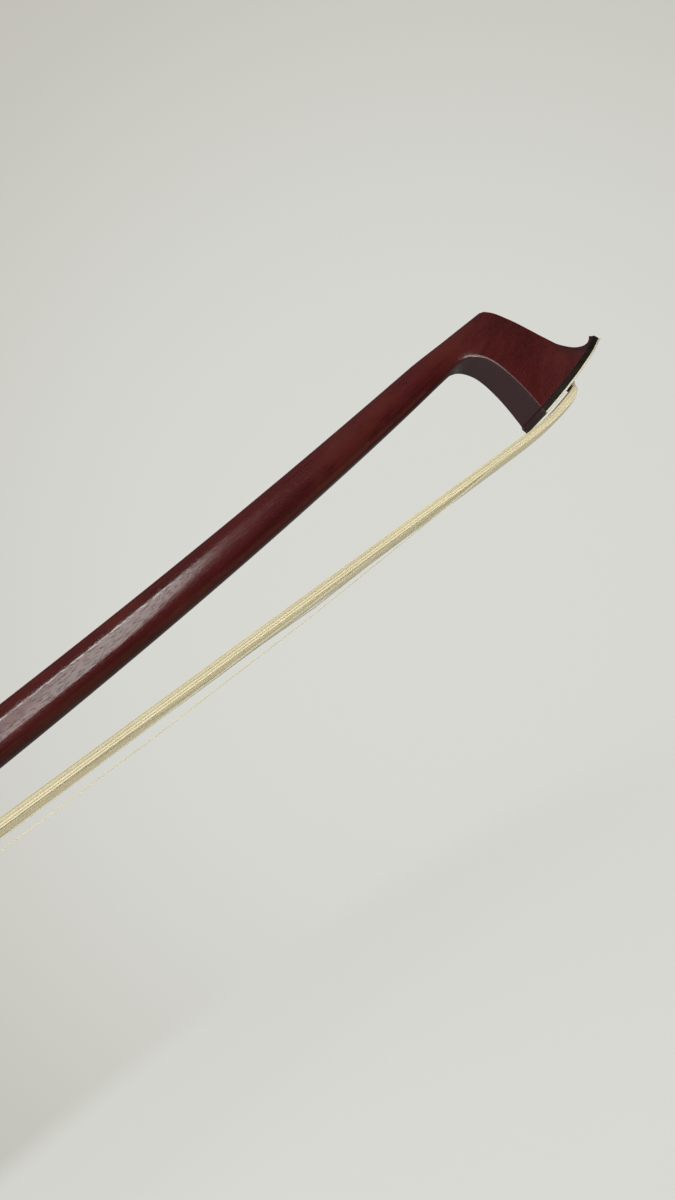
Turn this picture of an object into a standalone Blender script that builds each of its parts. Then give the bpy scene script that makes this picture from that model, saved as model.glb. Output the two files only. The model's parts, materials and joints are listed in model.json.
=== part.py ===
"""A viola bow: cambered octagonal-to-round stick with its carved head, head plate, hair,
frog with ferrule and slide, adjusting screw and three-part button.

The screw's axis is the X axis, +X towards the tip, +Z from the hair to the stick.
The origin is on that axis, straight above the mouth of the ferrule."""
import bpy
import bmesh
import numpy as np
from math import asin, atan, atan2, ceil, cos, pi, radians, sin, sqrt, tan
from mathutils import Matrix, Vector

MM = 0.001

# Clearances: a part on its seat, thin plates glued in a stack, a pin in its hole.
SEAT_GAP = 0.25 * MM
GLUE_GAP = 0.10 * MM
PIN_GAP = 0.15 * MM

# How far a cutter runs out past the face it opens
OVERCUT = 1.0 * MM

# Stick
RING_POINTS = 32
STICK_REAR_X = -54.0 * MM
HANDLE_FLATS = 8.7 * MM
OCTAGON_END_X = 55.0 * MM
ROUND_START_X = 105.0 * MM
CAMBER_START_X = 80.0 * MM
CAMBER_RISE = 31.07 * MM
CAMBER_POWER = 3.52
NECK_X = 638.4 * MM
NECK_DIAMETER = 5.66 * MM
TAPER_SHARPNESS = 37.0
TAPER_STRAIGHT_SHARE = 0.26
NIPPLE_RADIUS = 2.6 * MM
NIPPLE_LENGTH = 1.6 * MM

# Head, in its own frame: X along the hair, Z up, origin at the rear edge of the plate's face.
# The curves' points are in millimetres.
HEAD_TILT = radians(7.8)
NECK_SETBACK = 12.0 * MM
NECK_HEIGHT = 18.15 * MM
PEAK = (6.2 * MM, 22.47 * MM)
FRONT_CURVE = ((7.4, 21.55), (9.4, 19.0), (13.3, 12.6), (15.8, 9.1), (18.2, 7.3), (20.6, 6.87),
               (22.55, 7.5))
THROAT_ARCH = ((-7.0, 16.03), (-2.0, 16.75), (-0.6, 13.6), (0.1, 9.0))
THROAT_FALL = ((0.1, 9.0), (0.45, 6.9), (0.5, 4.0), (0.42, 0.0))
PEAK_PARTNER = 0.72
CORNER_PARTNER_X = 12.2 * MM
CHEEK_BULGE = 0.5 * MM
CHEEK_BULGE_HEIGHT = 8.0 * MM
CHEEK_BEVEL = 0.25 * MM
SHOULDER_HALF_WIDTHS = (2.0, 1.9, 1.5, 0.35)
ROOF_HEIGHT = 0.9 * MM
THROAT_TOP_HALF_WIDTH = 3.45 * MM

# Head plate and lining
PLATE_LENGTH = 23.5 * MM
PLATE_START = 0.42 * MM
PLATE_SLOPE = 0.175
PLATE_BOW = 2.04 * MM
TIP_EASE_LENGTH = 3.9 * MM
TIP_EASE_DROP = 0.35 * MM
TIP_END_LEAN = radians(29.0)
PLATE_THICKNESS = 0.55 * MM
LINING_THICKNESS = 0.65 * MM

# The plate seen from below: share of its length, half width in millimetres
PLAN_HALF_WIDTHS = ((0.0, 4.0), (0.15, 4.35), (0.35, 4.7), (0.6, 4.3), (0.8, 3.2), (0.93, 1.9),
                    (1.0, 0.8))

# Head mortise, plug and knot
HEAD_MORTISE_REAR = 4.6 * MM
HEAD_MORTISE_FRONT = 12.0 * MM
HEAD_MORTISE_TOP = 6.0 * MM
HEAD_MORTISE_HALF_WIDTH = 2.8 * MM
HEAD_PLUG_TOP = 3.8 * MM
HEAD_KNOT_RADIUS = 0.75 * MM

# Hair
HAIR_THICKNESS = 1.2 * MM
HAIR_PACKED_THICKNESS = 1.0 * MM
HAIR_HALF_WIDTH_AT_HEAD = 4.6 * MM
HAIR_SIDE_GAP_IN_FERRULE = 0.75 * MM
HAIR_SIDE_GAP_IN_CHANNEL = 0.4 * MM
HAIR_BULGE_DROP = 2.0 * MM
HAIR_BULGE_FORWARD = 0.4 * MM
HAIR_BULGE_RADIUS = 1.4 * MM
HAIR_GAP_UNDER_PLATE = 0.97 * MM
HAIR_LEVEL_RADIUS = 25.0 * MM
HAIR_FERRULE_RADIUS = 12.0 * MM
HAIR_MORTISE_RADIUS = 1.5 * MM
ARC_STEPS = 5

# Frog
FROG_REAR_X = -48.0 * MM
FROG_BOTTOM_Z = -26.4 * MM
FROG_TOP_Z = -3.0 * MM
FROG_TOP_HALF_WIDTH = 4.9 * MM
FROG_BOTTOM_HALF_WIDTH = 5.9 * MM
FROG_NOSE_X = -8.9 * MM
NOSE_DEPTH = 4.6 * MM
NOSE_FACE = 3.6 * MM
NOSE_BEVEL = 0.3 * MM
THUMB_CUT_DEPTH = 8.0 * MM
CHANNEL_HALF_WIDTH = 4.5 * MM
CHANNEL_DEPTH = 3.9 * MM
FROG_MORTISE_REAR_X = -36.5 * MM
FROG_MORTISE_FRONT_X = -27.5 * MM
FROG_MORTISE_HEIGHT = 5.0 * MM
FROG_MORTISE_HALF_WIDTH = 3.7 * MM
FROG_KNOT_RADIUS = 1.1 * MM

# Ferrule and wedge
FERRULE_LENGTH = 11.8 * MM
FERRULE_HEIGHT = 6.9 * MM
FERRULE_HALF_WIDTH = 6.8 * MM
FERRULE_WALL = 0.45 * MM
FERRULE_SPRING_HEIGHT = 2.4 * MM
FERRULE_CORNER_RADIUS = 1.1 * MM
WEDGE_LENGTH = 8.5 * MM
WEDGE_SIDE_GAP = 0.95 * MM
TONGUE_RAISE = 0.2 * MM
TONGUE_ROOT = 1.5 * MM

# Slide and heel plates
PEARL_THICKNESS = 0.9 * MM
BACKING_THICKNESS = 0.9 * MM
HEEL_LENGTH = 9.8 * MM
HEEL_THICKNESS = 0.5 * MM
HEEL_BACK_HEIGHT = 14.5 * MM
HEEL_PIN_RADIUS = 0.5 * MM
HEEL_PIN_LENGTH = 2.6 * MM

# Eyes in the frog's sides
EYE_X = -24.0 * MM
EYE_HEIGHT = 11.2 * MM
EYE_RADIUS = 2.5 * MM
EYE_RING_RADIUS = 3.4 * MM
EYE_THICKNESS = 0.8 * MM

# Underslide
UNDERSLIDE_THICKNESS = 0.4 * MM
UNDERSLIDE_HALF_WIDTH = 4.2 * MM
UNDERSLIDE_PIN_RADIUS = 0.7 * MM
UNDERSLIDE_PIN_LENGTH = 3.0 * MM
UNDERSLIDE_PIN_INSET = 5.0 * MM

# Eyelet and adjusting screw
SCREW_RADIUS = 1.5 * MM
SCREW_SHANK_RADIUS = 1.6 * MM
SCREW_PILOT_RADIUS = 1.3 * MM
SCREW_TIP_X = -13.0 * MM
SCREW_THREAD_LENGTH = 28.0 * MM
SCREW_PILOT_LENGTH = 3.0 * MM
EYELET_X = -27.0 * MM
EYELET_LENGTH = 4.4 * MM
EYELET_SIDE_WALL = 0.5 * MM
EYELET_TOP_WALL = 0.8 * MM
EYELET_STEM_RADIUS = 1.6 * MM
EYELET_STEM_LENGTH = 7.4 * MM
EYELET_STEM_ROOT = 0.5 * MM
FROG_TRAVEL_BACK = 3.85 * MM
FROG_TRAVEL_FORWARD = 1.05 * MM

# Button
BUTTON_LENGTH = 15.3 * MM
BUTTON_FLATS = 8.5 * MM
COLLAR_LENGTH = 3.0 * MM
BARREL_FLATS = 8.3 * MM
BARREL_SWELL = 0.05 * MM
BUTTON_BEVEL = 0.2 * MM
BUTTON_EYE_RADIUS = 2.3 * MM
BUTTON_EYE_THICKNESS = 0.6 * MM

# Grip
LEATHER_LENGTH = 27.0 * MM
LEATHER_THICKNESS = 1.2 * MM
WINDING_LENGTH = 72.0 * MM
WINDING_THICKNESS = 0.4 * MM
SLEEVE_STEP = 12.0 * MM

# Heights that follow from the sizes above
CHANNEL_TOP_Z = FROG_BOTTOM_Z + CHANNEL_DEPTH
FROG_MORTISE_TOP_Z = CHANNEL_TOP_Z + FROG_MORTISE_HEIGHT
TONGUE_BOTTOM_Z = CHANNEL_TOP_Z + TONGUE_RAISE
HEEL_BACK_TOP_Z = FROG_BOTTOM_Z + HEEL_BACK_HEIGHT
EYE_Z = FROG_BOTTOM_Z + EYE_HEIGHT
MOUTH_HAIR_Z = FROG_BOTTOM_Z + FERRULE_WALL + SEAT_GAP + HAIR_THICKNESS / 2
CHANNEL_HAIR_Z = CHANNEL_TOP_Z - SEAT_GAP - HAIR_THICKNESS / 2

# Widths and places that follow from the sizes above
HAIR_HALF_WIDTH_AT_FERRULE = FERRULE_HALF_WIDTH - FERRULE_WALL - HAIR_SIDE_GAP_IN_FERRULE
HAIR_HALF_WIDTH_IN_CHANNEL = CHANNEL_HALF_WIDTH - HAIR_SIDE_GAP_IN_CHANNEL
WEDGE_HALF_WIDTH = FERRULE_HALF_WIDTH - FERRULE_WALL - WEDGE_SIDE_GAP
FROG_KNOT_X = FROG_MORTISE_REAR_X + FROG_KNOT_RADIUS + SEAT_GAP
FROG_KNOT_Z = FROG_MORTISE_TOP_Z - FROG_KNOT_RADIUS - SEAT_GAP
EYELET_HALF_WIDTH = SCREW_RADIUS + EYELET_SIDE_WALL
EYELET_TOP_Z = SCREW_RADIUS + EYELET_TOP_WALL
EYELET_STEM_BOTTOM_Z = -HANDLE_FLATS / 2 + SEAT_GAP - EYELET_STEM_LENGTH
PLATE_END = PLATE_START + PLATE_LENGTH
LINING_OFFSET = PLATE_THICKNESS + GLUE_GAP
WOOD_OFFSET = LINING_OFFSET + LINING_THICKNESS + GLUE_GAP


def clear_scene():
    for item in list(bpy.data.objects):
        bpy.data.objects.remove(item, do_unlink=True)


def make_collection(name):
    group = bpy.data.collections.new(name)
    bpy.context.scene.collection.children.link(group)
    return group


def make_material(name, colour, roughness, metallic=0.0):
    material = bpy.data.materials.new(name)
    material.use_nodes = True
    shader = material.node_tree.nodes["Principled BSDF"]
    shader.inputs["Base Color"].default_value = (*colour, 1.0)
    shader.inputs["Roughness"].default_value = roughness
    shader.inputs["Metallic"].default_value = metallic
    material.diffuse_color = (*colour, 1.0)
    return material


clear_scene()
PARTS = make_collection("viola_bow")
CUTTERS = make_collection("cutters")

PERNAMBUCO = make_material("pernambuco", (0.063, 0.018, 0.012), 0.28)
EBONY = make_material("ebony", (0.012, 0.009, 0.008), 0.35)
BONE = make_material("bone", (0.68, 0.63, 0.53), 0.40)
MAPLE = make_material("maple", (0.56, 0.41, 0.24), 0.60)
HORSEHAIR = make_material("horsehair", (0.52, 0.45, 0.28), 0.50)
SILVER = make_material("silver", (0.72, 0.71, 0.69), 0.25, 1.0)
PEARL = make_material("pearl", (0.62, 0.66, 0.63), 0.20)
BRASS = make_material("brass", (0.60, 0.43, 0.17), 0.35, 1.0)
STEEL = make_material("steel", (0.45, 0.45, 0.46), 0.35, 1.0)
LEATHER = make_material("leather", (0.030, 0.018, 0.014), 0.65)


def add_object(name, mesh, material=None, parent=None, home=PARTS):
    """Links a mesh as a part, or as a hidden cutter where it has no material."""
    item = bpy.data.objects.new(name, mesh)
    if material:
        mesh.materials.append(material)
        mesh.shade_smooth()
        mesh.set_sharp_from_angle(angle=radians(30))
    else:
        item.hide_render = True
        item.display_type = 'WIRE'
        home = CUTTERS
    home.objects.link(item)
    item.parent = parent
    return item


def add_empty(name, location, tilt=0.0):
    """An empty at the location, with its X axis raised by the tilt."""
    item = bpy.data.objects.new(name, None)
    item.location = location
    item.rotation_euler = (0.0, -tilt, 0.0)
    PARTS.objects.link(item)
    return item


def cut(item, *cutters):
    for cutter in cutters:
        modifier = item.modifiers.new("cut_" + cutter.name, 'BOOLEAN')
        modifier.operation = 'DIFFERENCE'
        modifier.solver = 'EXACT'
        modifier.object = cutter


def mesh_from(name, work):
    """Turns a bmesh of one closed body into a mesh with its faces pointing out."""
    bmesh.ops.recalc_face_normals(work, faces=work.faces)
    mesh = bpy.data.meshes.new(name)
    work.to_mesh(mesh)
    work.free()
    return mesh


def loft(name, rings, closed=False):
    """Skins a row of like-numbered point rings; the ends get a cap, or meet when closed."""
    work = bmesh.new()
    rows = [[work.verts.new(point) for point in ring] for ring in rings]
    count = len(rows[0])
    pairs = list(zip(rows, rows[1:] + rows[:1])) if closed else list(zip(rows, rows[1:]))
    for first, second in pairs:
        for k in range(count):
            n = (k + 1) % count
            work.faces.new((first[k], first[n], second[n], second[k]))
    if not closed:
        work.faces.new(rows[0])
        work.faces.new(rows[-1])
    return mesh_from(name, work)


def box(name, low, high, material=None, parent=None):
    """A block between two corners."""
    low = Vector(low)
    high = Vector(high)
    size = high - low
    work = bmesh.new()
    bmesh.ops.create_cube(work, size=1.0)
    bmesh.ops.scale(work, vec=size, verts=work.verts)
    item = add_object(name, mesh_from(name, work), material, parent)
    item.location = (low + high) / 2
    return item


def rod(name, radius, start, end, material=None, parent=None, sides=24):
    """A round bar between two points."""
    start = Vector(start)
    end = Vector(end)
    work = bmesh.new()
    bmesh.ops.create_cone(work, cap_ends=True, segments=sides, radius1=radius, radius2=radius,
                          depth=(end - start).length)
    item = add_object(name, mesh_from(name, work), material, parent)
    item.location = (start + end) / 2
    item.rotation_euler = (end - start).to_track_quat('Z', 'Y').to_euler()
    return item


def turned(name, profile, material, parent, sides, first_angle=0.0, is_ring=False):
    """Turns a profile of (radius, distance along X) points about the X axis."""
    mesh = bpy.data.meshes.new(name)
    points = [(r * cos(first_angle), r * sin(first_angle), x) for r, x in profile]
    edges = [(k, k + 1) for k in range(len(points) - 1)]
    if is_ring:
        edges.append((len(points) - 1, 0))
    mesh.from_pydata(points, edges, [])
    item = add_object(name, mesh, material, parent)
    item.rotation_euler = (0.0, pi / 2, 0.0)
    screw = item.modifiers.new("turn", 'SCREW')
    screw.axis = 'Z'
    screw.steps = sides
    screw.render_steps = sides
    screw.use_merge_vertices = True
    screw.merge_threshold = 0.01 * MM
    screw.use_smooth_shade = sides > 8
    return item


def extrude(name, outlines, start, end, along, material=None, parent=None):
    """Extrudes flat outlines, the second a hole in the first, from start to end.

    Along Y the outlines' points are (x, z); along X they are (y, z)."""
    curve = bpy.data.curves.new(name, 'CURVE')
    curve.dimensions = '2D'
    curve.fill_mode = 'BOTH'
    curve.extrude = (end - start) / 2
    for points in outlines:
        spline = curve.splines.new('POLY')
        spline.points.add(len(points) - 1)
        for point, (across, up) in zip(spline.points, points):
            point.co = (across, up, 0.0, 1.0)
        spline.use_cyclic_u = True
    drawing = bpy.data.objects.new(name + "_drawing", curve)
    PARTS.objects.link(drawing)
    bpy.context.view_layer.update()
    mesh = bpy.data.meshes.new_from_object(drawing.evaluated_get(bpy.context.evaluated_depsgraph_get()))
    bpy.data.objects.remove(drawing, do_unlink=True)
    work = bmesh.new()
    work.from_mesh(mesh)
    bpy.data.meshes.remove(mesh)
    bmesh.ops.remove_doubles(work, verts=work.verts, dist=0.01 * MM)
    middle = (start + end) / 2
    if along == 'Y':
        place = Matrix(((1, 0, 0, 0), (0, 0, -1, middle), (0, 1, 0, 0), (0, 0, 0, 1)))
    else:
        place = Matrix(((0, 0, 1, middle), (1, 0, 0, 0), (0, 1, 0, 0), (0, 0, 0, 1)))
    bmesh.ops.transform(work, matrix=place, verts=work.verts)
    return add_object(name, mesh_from(name, work), material, parent)


def bezier(points, count):
    """Points of a cubic curve with the four given control points."""
    p = np.array(points)
    t = np.linspace(0.0, 1.0, count)[:, None]
    return (1 - t) ** 3 * p[0] + 3 * t * (1 - t) ** 2 * p[1] + 3 * t ** 2 * (1 - t) * p[2] + t ** 3 * p[3]


def curve_through(points, per_span=12):
    """A smooth curve through the points, with its parameter spaced by their distances."""
    p = np.array(points, float)
    t = np.r_[0.0, np.cumsum(np.linalg.norm(np.diff(p, axis=0), axis=1))]
    slope = np.gradient(p, t, axis=0)
    out = [p[:1]]
    for k in range(len(p) - 1):
        h = t[k + 1] - t[k]
        u = np.linspace(0.0, 1.0, per_span + 1)[1:, None]
        out.append((2 * u ** 3 - 3 * u ** 2 + 1) * p[k] + (u ** 3 - 2 * u ** 2 + u) * h * slope[k]
                   + (3 * u ** 2 - 2 * u ** 3) * p[k + 1] + (u ** 3 - u ** 2) * h * slope[k + 1])
    return np.vstack(out)


def spread_along(path, count):
    """Evenly spaced points along a path, both ends included."""
    gone = np.r_[0.0, np.cumsum(np.linalg.norm(np.diff(path, axis=0), axis=1))]
    want = np.linspace(0.0, gone[-1], count)
    return np.column_stack([np.interp(want, gone, path[:, k]) for k in range(path.shape[1])])


def smooth_step(u):
    u = np.clip(u, 0.0, 1.0)
    return u * u * (3 - 2 * u)


# The stick's axis and thickness

def axis_height(x):
    """Height of the stick's centre line: straight along the handle, then the camber."""
    u = max(x - CAMBER_START_X, 0.0) / (NECK_X - CAMBER_START_X)
    return CAMBER_RISE * u ** CAMBER_POWER


def axis_slope(x):
    length = NECK_X - CAMBER_START_X
    u = max(x - CAMBER_START_X, 0.0) / length
    return CAMBER_RISE * CAMBER_POWER * u ** (CAMBER_POWER - 1) / length


def stick_diameter(x):
    """Grows quickly behind the neck, then slowly and evenly towards the handle."""
    u = min(max((NECK_X - x) / (NECK_X - CAMBER_START_X), 0.0), 1.0)
    quick = np.log1p(TAPER_SHARPNESS * u) / np.log1p(TAPER_SHARPNESS)
    share = (1 - TAPER_STRAIGHT_SHARE) * quick + TAPER_STRAIGHT_SHARE * u
    return NECK_DIAMETER + (HANDLE_FLATS - NECK_DIAMETER) * share


def flat_factor(angle):
    """How much further out an octagon lies than its inscribed circle, with a flat facing down."""
    from_flat = (angle + pi / 8) % (pi / 4) - pi / 8
    return 1 / cos(from_flat)


def stick_ring(x, grow=0.0, radius=None):
    """The stick's section at x: octagonal on the handle, round beyond, grown outwards by grow."""
    roundness = float(smooth_step((x - OCTAGON_END_X) / (ROUND_START_X - OCTAGON_END_X)))
    size = stick_diameter(x) / 2 + grow
    if radius:
        roundness = 1.0
        size = radius
    tilt = atan(axis_slope(x))
    ring = []
    for k in range(RING_POINTS):
        angle = -pi / 2 + 2 * pi * k / RING_POINTS
        r = size * (1 + (1 - roundness) * (flat_factor(angle) - 1))
        up = r * sin(angle)
        ring.append((x - up * sin(tilt), r * cos(angle), axis_height(x) + up * cos(tilt)))
    return ring


NECK_TILT = atan(axis_slope(NECK_X))
HEAD_ANGLE = NECK_TILT - HEAD_TILT
HEAD_TURN = Matrix.Rotation(-HEAD_ANGLE, 3, 'Y')
HEAD_ORIGIN = (Vector((NECK_X, 0.0, axis_height(NECK_X)))
               - HEAD_TURN @ Vector((-NECK_SETBACK, 0.0, NECK_HEIGHT)))


def from_head(x, y, z):
    """A point of the head's own frame, in the bow's frame."""
    return HEAD_ORIGIN + HEAD_TURN @ Vector((x, y, z))


# The head's outlines

def face_height(x):
    """Height of the plate's outer face in the head's frame; its rise eases off at the tip."""
    eased = max(x - PLATE_END + TIP_EASE_LENGTH, 0.0) / TIP_EASE_LENGTH
    return PLATE_SLOPE * x + PLATE_BOW * (x / PLATE_LENGTH) ** 2 - TIP_EASE_DROP * eased ** 2


def face_offset(x, offset):
    """The point at the given distance above the plate's outer face.

    The distance is square to the face, but leans further back near the beak's cut end."""
    eased = max(x - PLATE_END + TIP_EASE_LENGTH, 0.0) / TIP_EASE_LENGTH
    slope = PLATE_SLOPE + 2 * PLATE_BOW * x / PLATE_LENGTH ** 2
    slope -= 2 * TIP_EASE_DROP * eased / TIP_EASE_LENGTH
    tilt = atan(slope) + TIP_END_LEAN * float(smooth_step(eased))
    return (x - offset * sin(tilt), face_height(x) + offset * cos(tilt))


PLAN_CURVE = curve_through(PLAN_HALF_WIDTHS) * (1.0, MM)


def plan_half_width(x):
    share = (x - PLATE_START) / PLATE_LENGTH
    return float(np.interp(share, PLAN_CURVE[:, 0], PLAN_CURVE[:, 1]))


def head_ribs():
    """Pairs of lower and upper points across the head, from the neck to the end of the beak.

    The lower ends run along the stick's underside, round the throat and along the plate's
    seat; the upper ends run along the top to the peak and down the front to the beak."""
    radius = NECK_DIAMETER / 2
    neck = np.array((-NECK_SETBACK, NECK_HEIGHT))
    up = np.array((-sin(HEAD_TILT), cos(HEAD_TILT)))
    arch = bezier(THROAT_ARCH, 60) * MM
    fall = bezier(THROAT_FALL, 60) * MM
    corner = np.array(face_offset(PLATE_START, WOOD_OFFSET))
    fall = np.vstack([fall[fall[:, 1] > corner[1]], corner])
    split = int(PEAK_PARTNER * len(arch))
    front = curve_through(np.vstack([np.array(PEAK) / MM, FRONT_CURVE])) * MM
    front_split = int(np.argmax(front[:, 0] > CORNER_PARTNER_X))
    seat = np.array([face_offset(x, WOOD_OFFSET) for x in np.linspace(PLATE_START, PLATE_END, 60)])
    seat[0] = corner
    lower_spans = (np.vstack([neck - up * radius, arch[:split]]),
                   np.vstack([arch[split - 1:], fall[1:]]),
                   seat)
    upper_spans = (np.vstack([neck + up * radius, PEAK]),
                   front[:front_split],
                   front[front_split - 1:])
    counts = (11, 9, 11)
    lower = [spread_along(path, count) for path, count in zip(lower_spans, counts)]
    upper = [spread_along(path, count) for path, count in zip(upper_spans, counts)]
    stage = np.r_[np.linspace(0, 1, counts[0]), np.linspace(1, 2, counts[1])[1:],
                  np.linspace(2, 3, counts[2])[1:]]
    return (np.vstack([lower[0], lower[1][1:], lower[2][1:]]),
            np.vstack([upper[0], upper[1][1:], upper[2][1:]]), stage)


def head_ring(low, high, stage):
    """The head's section on the rib from low to high; stage runs 0 neck, 1 peak, 2 corner, 3 beak."""
    low = Vector((low[0], low[1]))
    high = Vector((high[0], high[1]))
    length = (high - low).length
    along = (high - low) / length
    carved = float(smooth_step((stage - 0.1) / 0.75))
    neck_radius = NECK_DIAMETER / 2
    if stage <= 2:
        corner_half_width = plan_half_width(PLATE_START)
        base = float(np.interp(stage, (0, 1, 2), (neck_radius, THROAT_TOP_HALF_WIDTH, corner_half_width)))
    else:
        base = plan_half_width(low.x)
    shoulder = float(np.interp(stage, (0, 1, 2, 3), SHOULDER_HALF_WIDTHS)) * MM
    roof = min(ROOF_HEIGHT, 0.45 * length)
    bevel = min(CHEEK_BEVEL, 0.2 * length)
    bulge = CHEEK_BULGE * min(1.0, length / CHEEK_BULGE_HEIGHT)
    half = RING_POINTS // 2
    side = []
    for k in range(half + 1):
        angle = -pi / 2 + pi * k / half
        if k <= 3:
            y = (base - bevel) * k / 3
            d = 0.0
        elif k <= 12:
            u = (k - 4) / 8
            y = base + (shoulder - base) * u + bulge * sin(pi * u)
            d = bevel + u * (length - roof - bevel)
        else:
            u = (k - 12) / 4
            y = shoulder * (1 - u)
            d = length - roof * (1 - u)
        round_y = neck_radius * cos(angle)
        round_d = length / 2 * (1 + sin(angle))
        side.append((round_y + (y - round_y) * carved, round_d + (d - round_d) * carved))
    ring = []
    for k in range(RING_POINTS):
        y, d = side[k] if k <= half else side[RING_POINTS - k]
        sign = 1 if k <= half else -1
        foot = low + along * d
        ring.append(from_head(foot.x, sign * y, foot.y))
    return ring


# Stick

def make_stick(head_empty):
    """One piece of wood: nipple, octagonal handle, round cambered shaft and carved head."""
    rings = [stick_ring(STICK_REAR_X - NIPPLE_LENGTH, radius=NIPPLE_RADIUS),
             stick_ring(STICK_REAR_X, radius=NIPPLE_RADIUS),
             stick_ring(STICK_REAR_X)]
    for x in (OCTAGON_END_X, *np.linspace(OCTAGON_END_X, ROUND_START_X, 6)[1:]):
        rings.append(stick_ring(x))
    for x in ROUND_START_X + (NECK_X - ROUND_START_X) * np.linspace(0, 1, 25)[1:-1] ** 0.9:
        rings.append(stick_ring(x))
    lower, upper, stages = head_ribs()
    for low, high, stage in zip(lower, upper, stages):
        rings.append(head_ring(low, high, stage))
    stick = add_object("stick", loft("stick", rings), PERNAMBUCO)
    reach = 2 * HANDLE_FLATS
    half_slot = EYELET_HALF_WIDTH + SEAT_GAP
    slot = box("eyelet_slot_cutter",
               (EYELET_X - EYELET_LENGTH / 2 - FROG_TRAVEL_BACK - 2 * SEAT_GAP, -half_slot, -reach),
               (EYELET_X + EYELET_LENGTH / 2 + FROG_TRAVEL_FORWARD + 2 * SEAT_GAP, half_slot,
                EYELET_TOP_Z + SEAT_GAP))
    shank_bore = rod("shank_bore_cutter", SCREW_SHANK_RADIUS + SEAT_GAP,
                     (STICK_REAR_X - 2 * NIPPLE_LENGTH, 0, 0), (EYELET_X - EYELET_LENGTH / 2, 0, 0))
    tip_bore = rod("screw_tip_bore_cutter", SCREW_RADIUS + SEAT_GAP,
                   (EYELET_X, 0, 0), (SCREW_TIP_X + 2 * SEAT_GAP, 0, 0))
    mortise = box("head_mortise_cutter",
                  (HEAD_MORTISE_REAR, -HEAD_MORTISE_HALF_WIDTH, -HEAD_MORTISE_TOP),
                  (HEAD_MORTISE_FRONT, HEAD_MORTISE_HALF_WIDTH, HEAD_MORTISE_TOP), parent=head_empty)
    cut(stick, slot, shank_bore, tip_bore, mortise)
    return mortise


# Head plate, lining, plug and knot

def seat_strip(name, low_offset, high_offset, material, head_empty):
    """A thin plate along the head's lower face, between two distances above its outer face."""
    rings = []
    for x in PLATE_START + PLATE_LENGTH * np.linspace(0, 1, 18):
        width = plan_half_width(x)
        lower = face_offset(x, low_offset)
        upper = face_offset(x, high_offset)
        rings.append([(lower[0], -width, lower[1]), (lower[0], width, lower[1]),
                      (upper[0], width, upper[1]), (upper[0], -width, upper[1])])
    return add_object(name, loft(name, rings), material, head_empty)


def make_head_fittings(head_empty, mortise):
    plate = seat_strip("head_plate", 0.0, PLATE_THICKNESS, BONE, head_empty)
    lining = seat_strip("head_lining", LINING_OFFSET, LINING_OFFSET + LINING_THICKNESS, EBONY, head_empty)
    cut(plate, mortise)
    cut(lining, mortise)
    rear = HEAD_MORTISE_REAR + SEAT_GAP
    front = HEAD_MORTISE_FRONT - HAIR_PACKED_THICKNESS - 3 * SEAT_GAP
    half_width = HEAD_MORTISE_HALF_WIDTH - SEAT_GAP
    shape = [(rear, face_height(rear)), (front, face_height(front)),
             (front, HEAD_PLUG_TOP), (rear, HEAD_PLUG_TOP)]
    extrude("head_plug", [shape], -half_width, half_width, 'Y', MAPLE, head_empty)
    knot_x = HEAD_MORTISE_FRONT - HEAD_KNOT_RADIUS - SEAT_GAP
    knot_z = HEAD_MORTISE_TOP - HEAD_KNOT_RADIUS - SEAT_GAP
    rod("head_hair_knot", HEAD_KNOT_RADIUS, (knot_x, -half_width, knot_z), (knot_x, half_width, knot_z),
        HORSEHAIR, head_empty, sides=16)


# Hair

def rounded_path(corners):
    """A path through corners (x, z, radius, half width, half thickness), each corner an arc.

    Width and thickness change evenly along each straight, arc ends included."""
    rows = [corners[0][:2] + corners[0][3:]]
    for before, here, after in zip(corners, corners[1:], corners[2:]):
        a, b, c = Vector(before[:2]), Vector(here[:2]), Vector(after[:2])
        into = (b - a).normalized()
        out = (c - b).normalized()
        turn = atan2(into.x * out.y - into.y * out.x, into.dot(out))
        reach = here[2] * tan(abs(turn) / 2)
        start = b - into * reach
        side = Vector((-into.y, into.x)) * (1 if turn > 0 else -1)
        centre = start + side * here[2]
        arm = start - centre
        for k in range(ARC_STEPS + 1):
            spoke = Matrix.Rotation(turn * k / ARC_STEPS, 2) @ arm
            rows.append((*(centre + spoke), *here[3:]))
    rows.append(corners[-1][:2] + corners[-1][3:])
    return rows


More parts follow.
